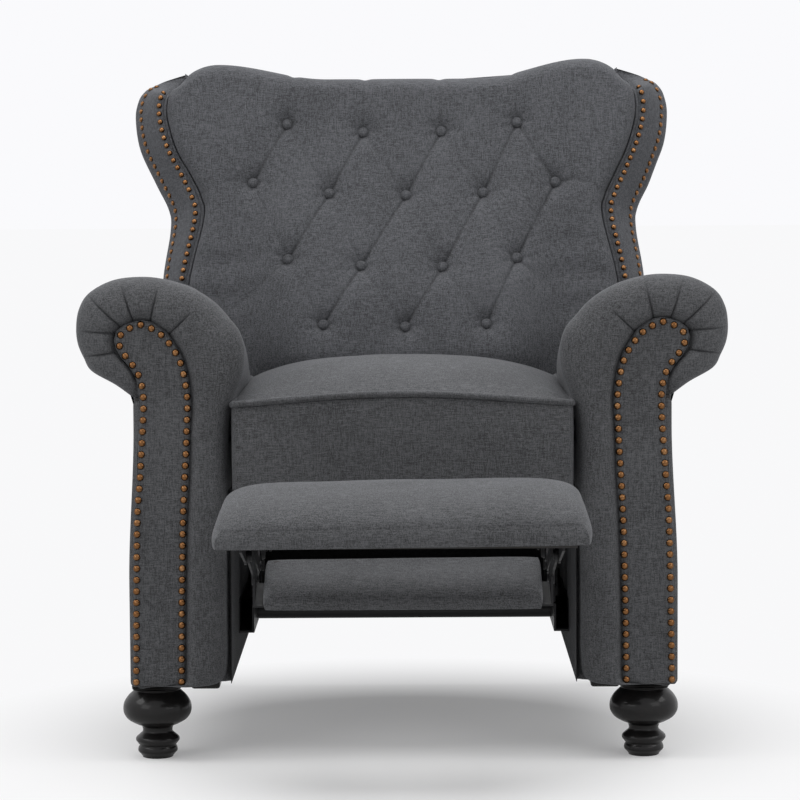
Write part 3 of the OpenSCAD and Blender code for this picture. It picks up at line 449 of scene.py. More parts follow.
def finished(name, color, rubbed, amount, metallic, coat=0, shine=0.5, rough=1):
    """Paint, stain or metal: color, and rubbed where it is worn. Nails get painted shade at their rims,
    darker towards near black.
    """
    material, net, shader, place = base_material(name)
    worn = net.add("Group", {"Vector": place, "Amount": amount}, node_tree=WORN)
    shade = net.blend(worn.outputs["Mask"], (*color, 1), (*rubbed, 1))
    # painted shade at the nails' rims, read from the pieces' attribute
    fold = net.add("Attribute", attribute_name="fold").outputs["Fac"]
    net.feed(shader, {
        "Base Color": net.blend(fold, shade, (0.012, 0.006, 0.003, 1)),
        "Roughness": net.math("MULTIPLY", worn.outputs["Roughness"], rough), "Metallic": metallic,
        "Coat Weight": coat, "Coat Roughness": 0.12, "Specular IOR Level": shine,
        "Normal": bump(net, worn.outputs["Height"], 0.25, 0.0002)})
    return material


def wood_grain(name, dark, light):
    """Planed board: rings stretched along the board, broken by a noise."""
    material, net, shader, place = base_material(name)
    rings = net.noise(net.scaled(place, (14, 120, 120)), 1, 4, 0.6)
    net.feed(shader, {
        "Base Color": net.blend(net.between(rings, 0.35, 0.65), (*dark, 1), (*light, 1)),
        "Roughness": net.between(rings, 0.3, 0.7, 0.55, 0.72), "Normal": bump(net, rings, 0.3, 0.0003)})
    return material


CHARCOAL = linen("charcoal linen", (0.034, 0.0345, 0.0365), (0.104, 0.106, 0.112))
CHARCOAL_BACK = linen("charcoal linen of the back", (0.0335, 0.0345, 0.0375), (0.101, 0.1035, 0.113), LEAN)
LINING = linen("black lining cloth", (0.004, 0.004, 0.004), (0.010, 0.010, 0.011))
BRONZE = finished("antique bronze", (0.19, 0.088, 0.034), (0.44, 0.245, 0.115), 0.5, 1, rough=0.6)
BLACK_WOOD = finished("black turned wood", (0.006, 0.0055, 0.0055), (0.016, 0.013, 0.012), 0.4, 0,
                      coat=0.25, shine=0.15)
STEEL_BLACK = finished("black enamelled steel", (0.008, 0.008, 0.009), (0.024, 0.024, 0.026), 0.4, 0,
                       shine=0.25)
SPRING_STEEL = finished("bare spring steel", (0.30, 0.30, 0.31), (0.48, 0.48, 0.50), 0.7, 1)
FRAME_WOOD = wood_grain("planed frame wood", (0.20, 0.125, 0.065), (0.36, 0.25, 0.145))
STAINED_WOOD = wood_grain("black-stained sill wood", (0.006, 0.005, 0.005), (0.018, 0.015, 0.013))


# Arms

# Outline of an arm, from under its roll over the top, down the inside and up the outer side: x and z of the
# outline, of the facing's edge where the cover's front ends, and of the outline at the roll's rear end
ARM_LOOP = [
    (369, 507, 360, 504, 370, 500), (393, 523, 362, 520, 394, 512), (427, 542, 366, 535, 427, 529),
    (438, 560, 374, 548, 438, 545), (446, 580, 385, 560, 445, 562), (448, 602, 394, 573, 446, 582),
    (444, 627, 396, 586, 440, 603), (430, 649, 391, 599, 426, 621), (397, 666, 377, 607, 393, 634),
    (357, 670.5, 355, 613, 357, 640), (325, 666.5, 336, 606, 326, 636), (290, 655, 321, 596, 303, 621.5),
    (262, 638, 311, 583, 277.5, 600.5), (240, 616, 301, 566, 256, 569), (224, 596, 295, 548, 242, 533),
    (217, 570, 291.5, 531, 235, 496), (219, 540, 289.5, 514, 234.5, 480),
    (228, 515, 288.4, 498, 235, 466), (236, 490, 289.4, 482, 236.5, 452),
    (240.5, 455, 291.4, 450, 239, 430), (241, 400, 292.4, 404, 239.6, 395),
    (242.5, 320, 297, 332, 239.6, 320), (243.5, 220, 300, 220, 239.6, 220),
    (243.5, 145, 301, 145, 239.6, 135), (251, 113, 303, 116, 246, 110), (276, 106, 318, 109, 276, 106),
    (340, 106, 345, 109, 340, 106), (368, 107, 367, 110, 368, 107), (369, 150, 368, 150, 369, 150),
    (368, 325, 366, 325, 368, 325), (366, 420, 363, 397, 366, 420), (364.5, 480, 361, 477, 365, 475),
    (368, 503, 360, 500, 369, 496)]
# Pleats on the front of a roll, from the facing outwards: x and z of both ends
PLEATS = np.array([
    [(385, 605), (427, 644)], [(367, 612), (383, 660)], [(344, 609), (333, 657)], [(318, 594), (288, 622)],
    [(389, 595), (437, 598)], [(391, 569), (437, 563)], [(361, 512), (370, 508)]], float)
# Nail line round a facing: outer foot, head, inner foot
NAIL_LINE = [
    (368.8, 114), (365, 325), (360, 397), (354.8, 476), (354, 504), (355.2, 519), (358.8, 534),
    (366, 548.5), (376.5, 562), (385, 576), (385.8, 590), (374, 601), (356, 607), (339.5, 600.5),
    (325.2, 590), (315, 577), (306, 562.5), (300.4, 547), (297.2, 531), (294.9, 514.4), (293.8, 498.3),
    (294.6, 482.4), (296.2, 440), (298.4, 404), (302, 332), (304.8, 220), (306.2, 114)]
NAIL_RADIUS = 5.3
NAIL_HEIGHT = 3.9
NAIL_PITCH = 15.8
# Edges of a facing: height, and x of its inner or outer edge there
FACING_INNER = [
    (107, 301), (135, 301), (220, 300), (332, 297), (404, 292.4), (450, 291.2), (482, 289.2),
    (498, 288.4), (514, 289.4), (531, 291.4), (548, 295), (565, 301), (582, 311), (596, 321), (606, 333),
    (611, 344), (613, 354)]
FACING_OUTER = [
    (107, 374.5), (325, 371.5), (397, 366.8), (477, 361.8), (504, 360.3), (520, 361.8), (535, 365.3),
    (548, 373), (560, 383), (573, 391), (586, 394), (599, 390), (607, 379), (611, 367), (613, 354)]
FACING_Y = -4.5
# Exponent of the roll's rounded front, and y of its rear end
ROLL_EXPONENT = 2.6
ROLL_END = 516


def arm_cover(hand, name):
    """Padded arm. Its front is a quarter of a superellipse from the facing's edge to the outline, sunk at the
    seam and the pleats; then the outline runs back, changes evenly to the roll's rear one and rounds in."""
    loop = curve(ARM_LOOP + ARM_LOOP[:1], 28)[:-1]
    out, face, rear = loop[:, :2], loop[:, 2:4], loop[:, 4:]
    gap = np.linalg.norm(out - face, axis=1)
    full = smooth(gap / 45)
    front = -1 - 12 * full
    back = 3 + 30 * full
    angle = quarter(44)[:, None]
    share = np.sin(angle) ** (2 / ROLL_EXPONENT)
    y = back - (back - front) * np.cos(angle) ** (2 / ROLL_EXPONENT)
    y = y + (1.5 - front) * bell(share * gap, 7, 1.4)
    xz = face + (out - face) * share[..., None]
    d, s = to_segments(xz, PLEATS)
    fade = 1 - 0.75 * s ** 2
    y = y + (4 * bell(d, 1.3) * fade).max(-1) + (3 * bell(d, 7.5) * fade).max(-1)
    # painted shade: dark lines in the pleats and along the seam at the facing's edge
    folds = np.maximum((bell(d, 1.2) * fade).max(-1), 0.8 * bell(share * gap, 1.6))
    along = (np.linspace(0, 1, 30)[1:] ** 1.4)[:, None]
    run = mix(back, ROLL_END, along)
    swell = 1.1 * np.sin(np.pi * along) + 0.7 * np.sin(9 * along + out[:, 0] * 0.02)
    tangent = unit(np.roll(out, -1, axis=0) - np.roll(out, 1, axis=0))
    normal = np.stack([tangent[:, 1], -tangent[:, 0]], 1)
    upper = smooth((out[:, 1] - 480) / 60)
    body = mix(out, rear, along[..., None]) + normal * (swell * upper)[..., None]
    inner_side = (out[:, 1] < 440) & (out[:, 0] < 260)
    body[..., 0] = np.where(inner_side, mix(out[:, 0], ARM_INNER, smooth(along * 60)), body[..., 0])
    close = quarter(9)[1:, None]
    end_y = ROLL_END + 12 * np.sin(close)
    end_xz = body[-1] - normal * (16 * (1 - np.cos(close)))[..., None]
    rings = np.concatenate([grid_of(part[..., 0], depth, part[..., 1])
                            for part, depth in ((xz, y), (body, run), (end_xz, end_y))])
    shade_marks = np.concatenate([folds, np.zeros((len(along) + len(close), len(out)))])
    return loft(name, mirrored(rings, hand), CHARCOAL, shade_marks)


def facing(hand, name):
    """Front panel from its inner to its outer edge at each height, rounded back over 5 mm by the square."""
    z = np.concatenate([np.linspace(108, 560, 90), 560 + 53 * np.sin(quarter(40)[1:])])
    inner = np.interp(z, *np.transpose(FACING_INNER))
    outer = np.interp(z, *np.transpose(FACING_OUTER))
    u = -np.cos(np.pi * np.arange(41) / 40)[None]
    mid, half = (inner + outer)[:, None] / 2, (outer - inner)[:, None] / 2
    z = z[:, None]
    edge = np.minimum(half * (1 - np.abs(u)), np.minimum(z - BASE_LOW, 614 - z))
    y = FACING_Y + 4.5 * near(edge, 5)
    return flat_pad(name, hand, grid_of(mid + half * u, y, z), 1, 5, CHARCOAL)


def arm_nails(hand, name):
    """Dome nails at one pitch along the nail line, facing forwards."""
    spots = at_pitch(curve(NAIL_LINE, 10), NAIL_PITCH)
    places = grid_of(spots[:, 0], FACING_Y + 0.4, spots[:, 1])
    normals = np.tile([0, -1, 0], (len(spots), 1))
    return domes(name, mirrored(places, hand), normals, NAIL_RADIUS, NAIL_HEIGHT, BRONZE)


def side_top(y):
    """Height of the outer side panel: level under the roll, then a smooth fall to the low rear part."""
    return 502 - 118 * smooth((y - 512) / 33) - 4 * smooth((y - 545) / 100)


def side_panel(hand, name):
    """Outer side: a crowned panel, drawn in by 8.5 mm under the roll, whose edges round in by the square."""
    stretches = ((-2, 10, 9), (10, 505, 40), (505, 545, 24), (545, 646, 20))
    y = np.unique(np.concatenate([np.linspace(*stretch) for stretch in stretches]))[:, None]
    s = (0.5 - 0.5 * np.cos(np.pi * np.arange(50) / 49))[None]
    top = side_top(y)
    z = mix(BASE_LOW, top, s)
    edge = np.minimum(np.minimum(y + 2, 648 - y), np.minimum(z - BASE_LOW, top - z) + 1)
    crown = 1.5 * np.sin(np.pi * held((y + 2) / 650)) * np.sin(np.pi * s)
    under_roll = 8.5 * smooth((z - 250) / 220)
    x = 377.5 + crown - under_roll - 6 * near(edge, 7)
    return flat_pad(name, hand, grid_of(x, y, z), 0, 358, CHARCOAL)


def rounded_rings(low, high, radius, stations, corner=6):
    """Rectangles with round corners: low and high are x and z of two corners at each station's y."""
    angles = np.concatenate([quarter(corner) + k * np.pi / 2 for k in range(4)])
    centre_x = np.repeat([1, -1, -1, 1], corner)
    centre_z = np.repeat([1, 1, -1, -1], corner)
    half = (high - low)[:, None] / 2 - radius
    mid = (high + low)[:, None] / 2
    x = mid[..., 0] + half[..., 0] * centre_x + radius * np.cos(angles)
    z = mid[..., 1] + half[..., 1] * centre_z + radius * np.sin(angles)
    return grid_of(x, stations[:, None], z)


def arm_rear(hand, name):
    """Low rear end of an arm: a padded box under the side panel's top edge, rounded at the back."""
    turn = np.concatenate([np.zeros(36), quarter(6)[1:]])
    y = np.concatenate([np.linspace(503, 638, 36), np.full(5, 638)]) + 8 * np.sin(turn)
    inset = 8 * (1 - np.cos(turn))
    low = grid_of(ARM_INNER + inset, BASE_LOW - 0.2 + inset)
    high = grid_of(365 - inset, np.minimum(side_top(y) - 1, 480) - inset)
    return loft(name, mirrored(rounded_rings(low, high, 7, y), hand), CHARCOAL)


def rear_panel(name):
    """Rear of the base from side to side: a crowned panel that rounds into the arms' sides."""
    x = np.interp(np.arange(74), [0, 7, 66, 73], [-376, -364, 364, 376])[None]
    s = np.linspace(0, 1, 30)[:, None]
    z = mix(106.5, 379, s)
    edge = np.minimum(376.5 - np.abs(x), np.minimum(z - 106, 380 - z))
    y = 649.5 + 2 * np.sin(np.pi * s) * np.cos(np.pi * x / 760) - 6 * near(edge, 7)
    return flat_pad(name, 1, grid_of(x, y, z), 1, 637.2, CHARCOAL)


def lining(name):
    """Black cloth inside the base, from sill to sill round the rear, with a slight ripple by sines."""
    x, rear_y = ARM_INNER - 1, 635.8
    path = evenly(np.array([(-x, 16), (-x, rear_y), (x, rear_y), (x, 16)]), 160)
    z = np.linspace(108, 376, 30)[:, None]
    inwards = unit(np.array([0, 340]) - path)
    ripple = 0.8 * (1 + np.sin(np.arange(160) * 0.55)) * np.sin(np.pi * (z - 108) / 276)
    return panel(name, grid_of(path[:, 0] + inwards[:, 0] * ripple, path[:, 1] + inwards[:, 1] * ripple, z),
                 0.8, LINING)


# The left front foot stands a little further out, as in the photograph
FOOT_X = {1: 334, -1: 344.5}
FOOT_Y = 50
# Profile of a front foot: radius and height
FOOT_PROFILE = [
    (0, 0), (19, 0), (21.5, 2), (24, 5), (27.4, 9), (27, 14), (25.5, 17), (27.5, 20), (30.3, 24),
    (29.8, 28), (25.5, 32), (21.2, 36), (20.8, 40), (23, 44.5), (31, 48), (41, 54), (46.5, 62),
    (47.6, 70), (46, 78), (41, 86), (35, 92), (32, 95), (31, 98.5), (0, 98.5)]


def turned_foot(hand, name):
    """Turned front foot: the smooth profile spun round, under a square plinth."""
    profile = curve(FOOT_PROFILE, 6)
    turn = (np.arange(96) * 2 * np.pi / 96)[None]
    r, z = profile[1:-1, :1], profile[1:-1, 1:]
    foot = grid_of(FOOT_X[hand] + r * np.cos(turn), FOOT_Y + r * np.sin(turn), z)
    return loft(name, mirrored(foot, hand), BLACK_WOOD)


def square_block(hand, name, centre, sizes, heights, rake=0, radius=3):
    """A square block between two heights, with rounded edges. centre is x and y at the top, sizes the widths
    at foot and top, rake how far the foot stands back."""
    low_z, high_z = heights
    ease = np.array([0, 0.4] + [1] * 10 + [0.4, 0])
    rounding = np.array([0, 0.5, 2.5])
    z = np.concatenate([low_z + rounding, np.linspace(low_z + 5, high_z - 5, 8), high_z - rounding[::-1]])
    s = (z - low_z) / (high_z - low_z)
    half = mix(sizes[0], sizes[1], s) / 2 - radius * (1 - ease) * 0.8
    mid_y = centre[1] + rake * (1 - s)
    low = grid_of(centre[0] - half, mid_y - half)
    high = grid_of(centre[0] + half, mid_y + half)
    rings = rounded_rings(low, high, radius, z)[..., [0, 2, 1]]
    return loft(name, mirrored(rings, hand), BLACK_WOOD)


# Seat

def seat_bow(x):
    """Rise of the seat's front edge towards the middle: 13 mm times a cosine to the power 1.25."""
    return 13 * held(np.cos(np.pi / 2 * x / SEAT_HALF)) ** 1.25


def seat_cushion(name):
    """Crowned seat: across it falls as (1 - |x|^2.6)^0.7; along it rises by a sine, is fullest two fifths
    back and sinks towards the rear. Soft waves of a millimetre keep the cloth from lying flat."""
    a = crowded(151)[None]
    s = (0.5 - 0.5 * np.cos(np.pi * np.linspace(0, 1, 131)))[:, None]
    across = held(1 - np.abs(a) ** 2.6) ** 0.7
    along = np.sin(np.pi / 2 * np.minimum(1, s / 0.40)) ** 0.9
    along = along * (1 - 0.16 * smooth((s - 0.40) / 0.3) - 0.6 * held((s - 0.6) / 0.4) ** 3)
    x = SEAT_HALF * a * (1 - 0.006 * np.sin(np.pi * s))
    y = 1 + s * SEAT_DEPTH
    wave = np.sin(x / 31 + 1.3 * np.sin(y / 57)) * np.sin(y / 43 + 0.8 * np.sin(x / 71))
    z = SEAT_EDGE - 1 + seat_bow(x) * (1 - smooth(s * 2.2)) + (SEAT_CROWN + 0.9 * wave) * across * along
    grid = grid_of(x, y, z)
    edge = rim_points(grid)
    base = grid_of(edge[:, 0] * 0.975, 6 + (edge[:, 1] - 1) * 0.985, SEAT_TOP + 0.4)
    return pillow(name, grid, base, CHARCOAL, wall=8, bulge=0.5)


def seat_border(name):
    """Front of the seat: a strip from the frame's underside to the welt, bulging forwards by a sine."""
    s = np.linspace(0, 1, 41)[:, None]
    x = SEAT_HALF * crowded(101)[None]
    z = mix(SEAT_LOW, SEAT_EDGE + seat_bow(x) - 3, s)
    wave = 0.7 * np.sin(x / 37 + z / 61) * np.sin(z / 23 + x / 113)
    y = -8 - 4.5 * np.sin(np.pi * s) + wave + 9 * near(SEAT_HALF - np.abs(x), 8)
    y = y + 3 * near(z - SEAT_LOW + 0.5, 7) + 2.5 * near((1 - s) * 118, 8)
    grid = grid_of(x, y, z)
    base = rim_points(grid) * np.array([0.998, 0, 1]) + np.array([0, -0.4, 0])
    return pillow(name, grid, base, CHARCOAL, wall=3, bulge=0)


def seat_welt(name):
    """Piped edge of the seat: along the bowed front, round both corners and back along the sides."""
    radius = 11
    reach = SEAT_HALF - 1 - radius
    x = np.linspace(-reach, reach, 90)
    front = grid_of(x, -7, SEAT_EDGE + seat_bow(x))
    a = quarter(12)[1:]
    corner = grid_of(reach + radius * np.sin(a), 4 - radius * np.cos(a), front[-1, 2] - 2 * np.sin(a))
    side = grid_of(reach + radius, np.linspace(8, 500, 40), SEAT_EDGE - 1.5)
    path = np.vstack([mirrored(np.vstack([corner, side])[::-1], -1), front, corner, side])
    return welt(name, evenly(path, 480), 4.5, (0, 0, 1), CHARCOAL)


def seat_side_cloth(hand, name):
    """Cloth pulled over the side of the seat frame, with a shallow ripple."""
    y = np.linspace(-3, 556, 120)[:, None]
    z = np.linspace(379, 434, 16)[None]
    x = 226.4 + 0.5 * np.sin(y / 19) * np.sin(np.pi * (z - 379) / 55)
    return panel(name, mirrored(grid_of(x, y, z), hand), 1.2, CHARCOAL)


def seat_rear_cloth(name):
    """Cloth from under the seat's rear edge over the frame's rear rail and down behind it."""
    bends = [(494, 431.6), (540, 431.6), (554.5, 430.6), (557.2, 426), (557.4, 400), (557.4, 379)]
    y, z = evenly(curve(bends, 6), 40).T
    x = np.linspace(-226, 226, 90)[:, None]
    return panel(name, grid_of(x, y + 0.4 * np.sin(x / 17), z), 1, CHARCOAL)


def dust_cloth(name, left, right):
    """Black dust cloth behind the seat, sagging by 3 mm. The seat plates move between its three parts."""
    x = np.linspace(left, right, 60)[:, None]
    s = np.linspace(0, 1, 24)[None]
    z = 372.5 - 3 * np.sin(np.pi * s) * (1 + 0.2 * np.sin(x / 23))
    return panel(name, grid_of(x, mix(505, 635, s), z), 0.8, LINING)


# Back

# Rims of a wing band, each x and height along the back: beside the cushion and at the outer back
INNER_EDGE = curve([
    (228, 44), (310, 90), (336, 200), (312.5, 324), (316.5, 360), (333, 396), (356, 437), (370, 483),
    (372, 512), (366, 534), (356, 547), (340, 557)], 8)
OUTER_EDGE = curve([
    (350, 14), (374, 120), (379.5, 230), (368, 318), (371, 355), (392.5, 400), (418, 456), (425.5, 505),
    (421, 533), (411, 548), (398, 557), (378, 566.5), (346, 577)], 8)
# Heights along the back of its top's middle and the cushion's lower edge; place and rise of the top's peaks
MIDDLE_TOP = BACK_LENGTH - 9
CUSHION_LOW = 40
PEAK_X = 290
PEAK_RISE = 25
# Creases run to the top and the bottom at these shares of their button's x
TOP_SPREAD = 0.95
LOW_SPREAD = 1.05
# Buttons of the tufted back: x, and height along the back
TUFTS = np.array([
    (-181, 477), (-61.5, 463), (61.5, 464), (181, 478),
    (-234.5, 381), (-114.5, 361), (5.5, 357.5), (126, 361), (239, 380),
    (-178, 251.5), (-64.5, 239), (61.5, 236.5), (176.5, 252),
    (-123, 142.5), (3, 138.5), (128.5, 142.5)], float)


def inner_half(w):
    """Half width of the back's cushion at height w along the back."""
    return np.interp(w, INNER_EDGE[:, 1], INNER_EDGE[:, 0])


def outer_half(w):
    """Half width of the outer back at height w along the back."""
    return np.interp(w, OUTER_EDGE[:, 1], OUTER_EDGE[:, 0])


def top_of_back(x):
    """Top edge of the back: level in the middle, a soft peak either side, then a fall by the power 2.2. It
    dips 2 mm where a crease runs over it."""
    a = np.abs(x)
    rise = PEAK_RISE * smooth((a - 120) / (PEAK_X - 120))
    fall = 22 * np.clip((a - PEAK_X) / 55, 0, 1.2) ** 2.2
    notch = sum(bell(a - TOP_SPREAD * place, 7) for place in (61.5, 181))
    return MIDDLE_TOP + rise - fall - 2 * notch


def tuft_creases():
    """Segments from each button to its neighbours in the next row, the top, the seat and the wings, and how
    hard each pulls at its ends. Those that run down to the left pull hardest."""
    found = []
    for x, w in TUFTS:
        for x2, w2 in TUFTS:
            if 44 < abs(x - x2) < 78 and 70 < w - w2 < 130:
                pull = 1 if x > x2 or x2 > 200 else 0.4
                found.append((x, w, x2, w2, pull, pull))
        if w > 440:
            found.append((x, w, x * TOP_SPREAD, BACK_LENGTH + PEAK_RISE, 0.55, 0.3))
        if w < 160:
            found.append((x, w, x * LOW_SPREAD, CUSHION_LOW, 0.5, 0.3))
        if abs(x) > 200:
            bend, end = math.copysign(272, x), math.copysign(316, x)
            found += [(x, w, bend, w + 4, 0.9, 0.4), (bend, w + 4, end, w - 16, 0.4, 0.3)]
        if abs(x) > 160 and w < 260:
            found.append((x, w, x * 1.5, w - 75, 0.6, 0.1))
    found = np.array(found)
    return found[:, :4].reshape(-1, 2, 2), found[:, 4:]


def back_depth(x, w):
    """How far the tufted face stands in front of the core, and the painted shade of each point: in the
    creases, round the buttons and along the rim. It rounds off at the rim by a superellipse; creases are
    shallow valleys with a fine slot, buttons lie in dimples."""
    ends = smooth((256 - np.abs(x)) / 105)
    lumbar = 46 * ends * smooth((470 - w) / 380) * smooth((w + 10) / 110)
    e_side = held((inner_half(np.minimum(w, 548)) - np.abs(x)) / 26)
    e_top = held((top_of_back(x) - w) / 34)
    e_low = held((w - CUSHION_LOW) / 34)
    at_side, at_top, at_low = ((1 - (1 - e) ** 2.4) ** 0.5 for e in (e_side, e_top, e_low))
    near_top = smooth((w - 535) / 28)
    round_off = mix(0.64 * (1 - near_top), 1, at_side) * at_top * at_low
    points = grid_of(x, w)
    segments, pull = tuft_creases()
    d, s = to_segments(points, segments)
    hard = mix(pull[:, 0], pull[:, 1], s)
    tips = np.abs(2 * s - 1)
    deep = hard * (0.35 + 0.65 * tips ** 1.5)
    valley = (bell(d, 15, 1.3) * deep).max(-1)
    slot = (bell(d, 2.3, 1.8) * deep).max(-1)
    line = (bell(d, 1.9) * hard * (0.6 + 0.4 * tips)).max(-1)
    away = points[..., None, :] - TUFTS
    reach = np.linalg.norm(away, axis=-1)
    button = reach.min(-1)
    rays = bell(reach, 24) * np.cos(7 * np.arctan2(away[..., 1], away[..., 0]))
    creased = 5 * valley + 2.4 * slot + 7 * bell(button, 20, 1.7)
    creased = creased + 0.9 * rays.sum(-1) * smooth((button - 6) / 8)
    wrinkle = 0.9 * np.sin(w / 9 + 2.2 * np.sin(x / 60)) * smooth((np.abs(x) - 190) / 60)
    wrinkle = wrinkle * smooth((330 - w) / 60) * smooth((w - 120) / 60)
    wrinkle = wrinkle + 0.6 * np.sin(x / 37 + 1.1 * np.sin(w / 51)) * np.sin(w / 33 + x / 87)
    depth = (54 + lumbar) * round_off - creased * smooth(round_off * 1.6) + wrinkle * round_off
    # painted shade: along the crease lines, in a ring round each button and in the fold at the cushion's rim
    rim_shade = bell(e_side * 26, 1.6) * (1 - near_top)
    shade_marks = np.maximum(line * smooth(round_off * 2 - 0.2), 0.9 * bell(button, 10.6, 10))
    return depth, np.maximum(shade_marks, 0.5 * rim_shade)


def back_cushion(name):
    """Tufted back: a grid between its side edges and its peaked top, pushed out by back_depth."""
    u = np.sin(np.pi / 2 * np.linspace(-1, 1, 321) * 0.86)[None] / math.sin(np.pi / 2 * 0.86)
    s = np.linspace(0, 1, 281)[:, None]
    s = mix(s, 0.5 - 0.5 * np.cos(np.pi * s), 0.45)
    highest = MIDDLE_TOP - 3
    w = mix(CUSHION_LOW, top_of_back(u * inner_half(mix(CUSHION_LOW, highest, s))), s)
    x = u * (inner_half(np.minimum(w, highest)) - 1.4)
    depth, folds = back_depth(x, w)
    grid = grid_of(x, CORE_FRONT - 4 - np.maximum(depth, 0), w)
    base = rim_points(grid) * np.array([0.985, 0, 1]) + np.array([0, CORE_FRONT - 0.3, 0])
    base[:, 2] = mix(CUSHION_LOW, base[:, 2], 0.985)
    return pillow(name, in_back(grid), in_back(base), CHARCOAL_BACK, wall=3, bulge=0, folds=folds)


def buttons(name):
    """Cloth-covered buttons: low domes that stand a little out of the tufts."""
    depth, _ = back_depth(*TUFTS.T)
    places = in_back(grid_of(TUFTS[:, 0], CORE_FRONT - 7.6 - depth, TUFTS[:, 1]))
    normals = np.tile([0, -math.cos(LEAN), math.sin(LEAN)], (len(TUFTS), 1))
    # the domes carry painted shade that darkens the buttons' rims
    return domes(name, places, normals, 9, 5, CHARCOAL_BACK, sides=32, rings=9)


def band_lines(count):
    """Inner and outer rim of a wing band, each (x, w), at the same shares of their point counts."""
    rims = []
    for edge in (INNER_EDGE, OUTER_EDGE):
        at = np.linspace(0, len(edge) - 1, count)
        rims.append(grid_of(*(np.interp(at, np.arange(len(edge)), edge[:, k]) for k in (0, 1))))
    return rims


# A wing band's face, rearwards of the pivot: its crest, its rim beside the cushion and its rear
BAND_FRONT = -60
BAND_INNER = -47
BAND_REAR = 6


def sunk(w, v):
    """The depth v, sunk behind the cushion's corner over the last 37 mm of the band's inner rim."""
    return mix(v, 3, 0.95 * smooth((w - 520) / 37))


def band_point(inner, outer, s):
    """The band's face, s of the way across: a slope from a crest to the rear, crowned by a sine, and a flank
    that turns inwards over the first two fifths by the power 1.4."""
    x = mix(inner[:, 0] + 3, outer[:, 0] - 1, s)
    w = mix(inner[:, 1], outer[:, 1], s)
    share = min(max(s, 0), 1)
    turned = (BAND_INNER - BAND_FRONT) * max(1 - share / 0.36, 0) ** 1.4
    v = mix(BAND_FRONT, BAND_REAR - 12, share ** 1.25) - 4 * math.sin(math.pi * share) + turned
    return grid_of(x, sunk(inner[:, 1], v), w)


def wing_band(hand, name):
    """Padded wing: a strip beside the cushion that faces forwards and outwards, rounded at both rims."""
    inner, outer = band_lines(140)
    lines = [grid_of(inner[:, 0] + 2, CORE_REAR - 1, inner[:, 1])]
    for offset, v in ((1, 8), (1.3, 3)):
        lines.append(grid_of(inner[:, 0] + offset, sunk(inner[:, 1], BAND_INNER + v), inner[:, 1]))
    lines += [band_point(inner, outer, s) for s in np.linspace(0, 1, 21).tolist()]
    for offset, v in ((0, BAND_REAR - 6), (-1, CORE_REAR - 1)):
        lines.append(grid_of(outer[:, 0] + offset, v, outer[:, 1]))
    return loft(name, in_back(mirrored(np.stack(lines, 1), hand)), CHARCOAL_BACK)


# Rows of wing nails: share of the way across the band, and the x where a row ends at the shoulder; their
# pitch, and how far up the back they start
WING_NAILS = ((0.21, 376), (0.83, 391))
WING_NAIL_PITCH = 13.4
WING_NAILS_LOW = 150


def wing_nails(hand, name):
    """Two rows of dome nails along a wing band, square to its face."""
    inner, outer = band_lines(300)
    rows = []
    for s, end_x in WING_NAILS:
        line = band_point(inner, outer, s)
        across = band_point(inner, outer, s + 0.05) - band_point(inner, outer, s - 0.05)
        way = unit(np.cross(across, np.gradient(line, axis=0)))
        spots = at_pitch(np.hstack([line, way]), WING_NAIL_PITCH, slice(0, 3))
        past_shoulder = (spots[:, 2] > 500) & (spots[:, 0] < end_x)
        rows.append(spots[(spots[:, 2] > WING_NAILS_LOW) & ~past_shoulder])
    spots = np.vstack(rows)
    places = in_back(mirrored(spots[:, :3], hand))
    normals = in_back(mirrored(spots[:, :3] + spots[:, 3:], hand)) - places
    return domes(name, places, normals, 4.4, 3.3, BRONZE)


def shell_top(x):
    """Top of the outer back: 7 mm under the cushion's top, and 4 mm under the wing bands at the shoulders."""
    a = np.abs(x)
    shoulder = np.interp(a, [335, 346, 378, 398], [564, 572, 562.5, 553])
    low = top_of_back(x) - 7
    return np.where(a > 335, np.maximum(low, shoulder), low)


def outer_back(name):
    """Outer back: rings at each height, flat in front and crowned behind. The crown falls to the sides by the
    seventh power and rounds over at the top."""
    s = np.concatenate([np.linspace(0, 0.88, 70), 0.88 + 0.12 * np.sin(quarter(26)[1:])])[:, None]
    u = np.cos(np.pi * np.arange(121) / 120)[None]
    low = 12
    half = outer_half(np.minimum(mix(low, BACK_LENGTH - 6, s), 560))
    w = mix(low, shell_top(u * half), s)
    x = u * outer_half(np.minimum(w, 560))
    side = np.sqrt(held(1 - np.abs(u) ** 7))
    top = np.sqrt(held(1 - held((s - 0.86) / 0.14) ** 2.2))
    v = CORE_REAR + 52 * mix(0.12, 1, side * top) * mix(0.8, 1, np.sin(math.radians(150) * s))
    rear = grid_of(x, v, w)
    front = grid_of(x[:, ::-1], CORE_REAR + 0.3, w[:, ::-1])
    return loft(name, in_back(np.concatenate([rear, front[:, 1:-1]], 1)), CHARCOAL_BACK)


def wing_welt(hand, name, rim, offset, depth, radius):
    """Welt along the inner (rim 0) or outer (rim 1) edge of a wing band, offset across and at depth."""
    edge = band_lines(200)[rim]
    path = grid_of(edge[:, 0] + offset, depth, edge[:, 1])
    if rim == 0:
        path[:, 1] = sunk(path[:, 2], depth)
    else:
        path[:, 2] -= 4.5 * smooth((path[:, 2] - 530) / 40)
    path = evenly(path[path[:, 2] > 60], 260)
    return welt(name, in_back(mirrored(path, hand)), radius, (0, 1, 0.3), CHARCOAL_BACK)


# Half width of the cloth and the welt over the back's top
TOP_REACH = 346


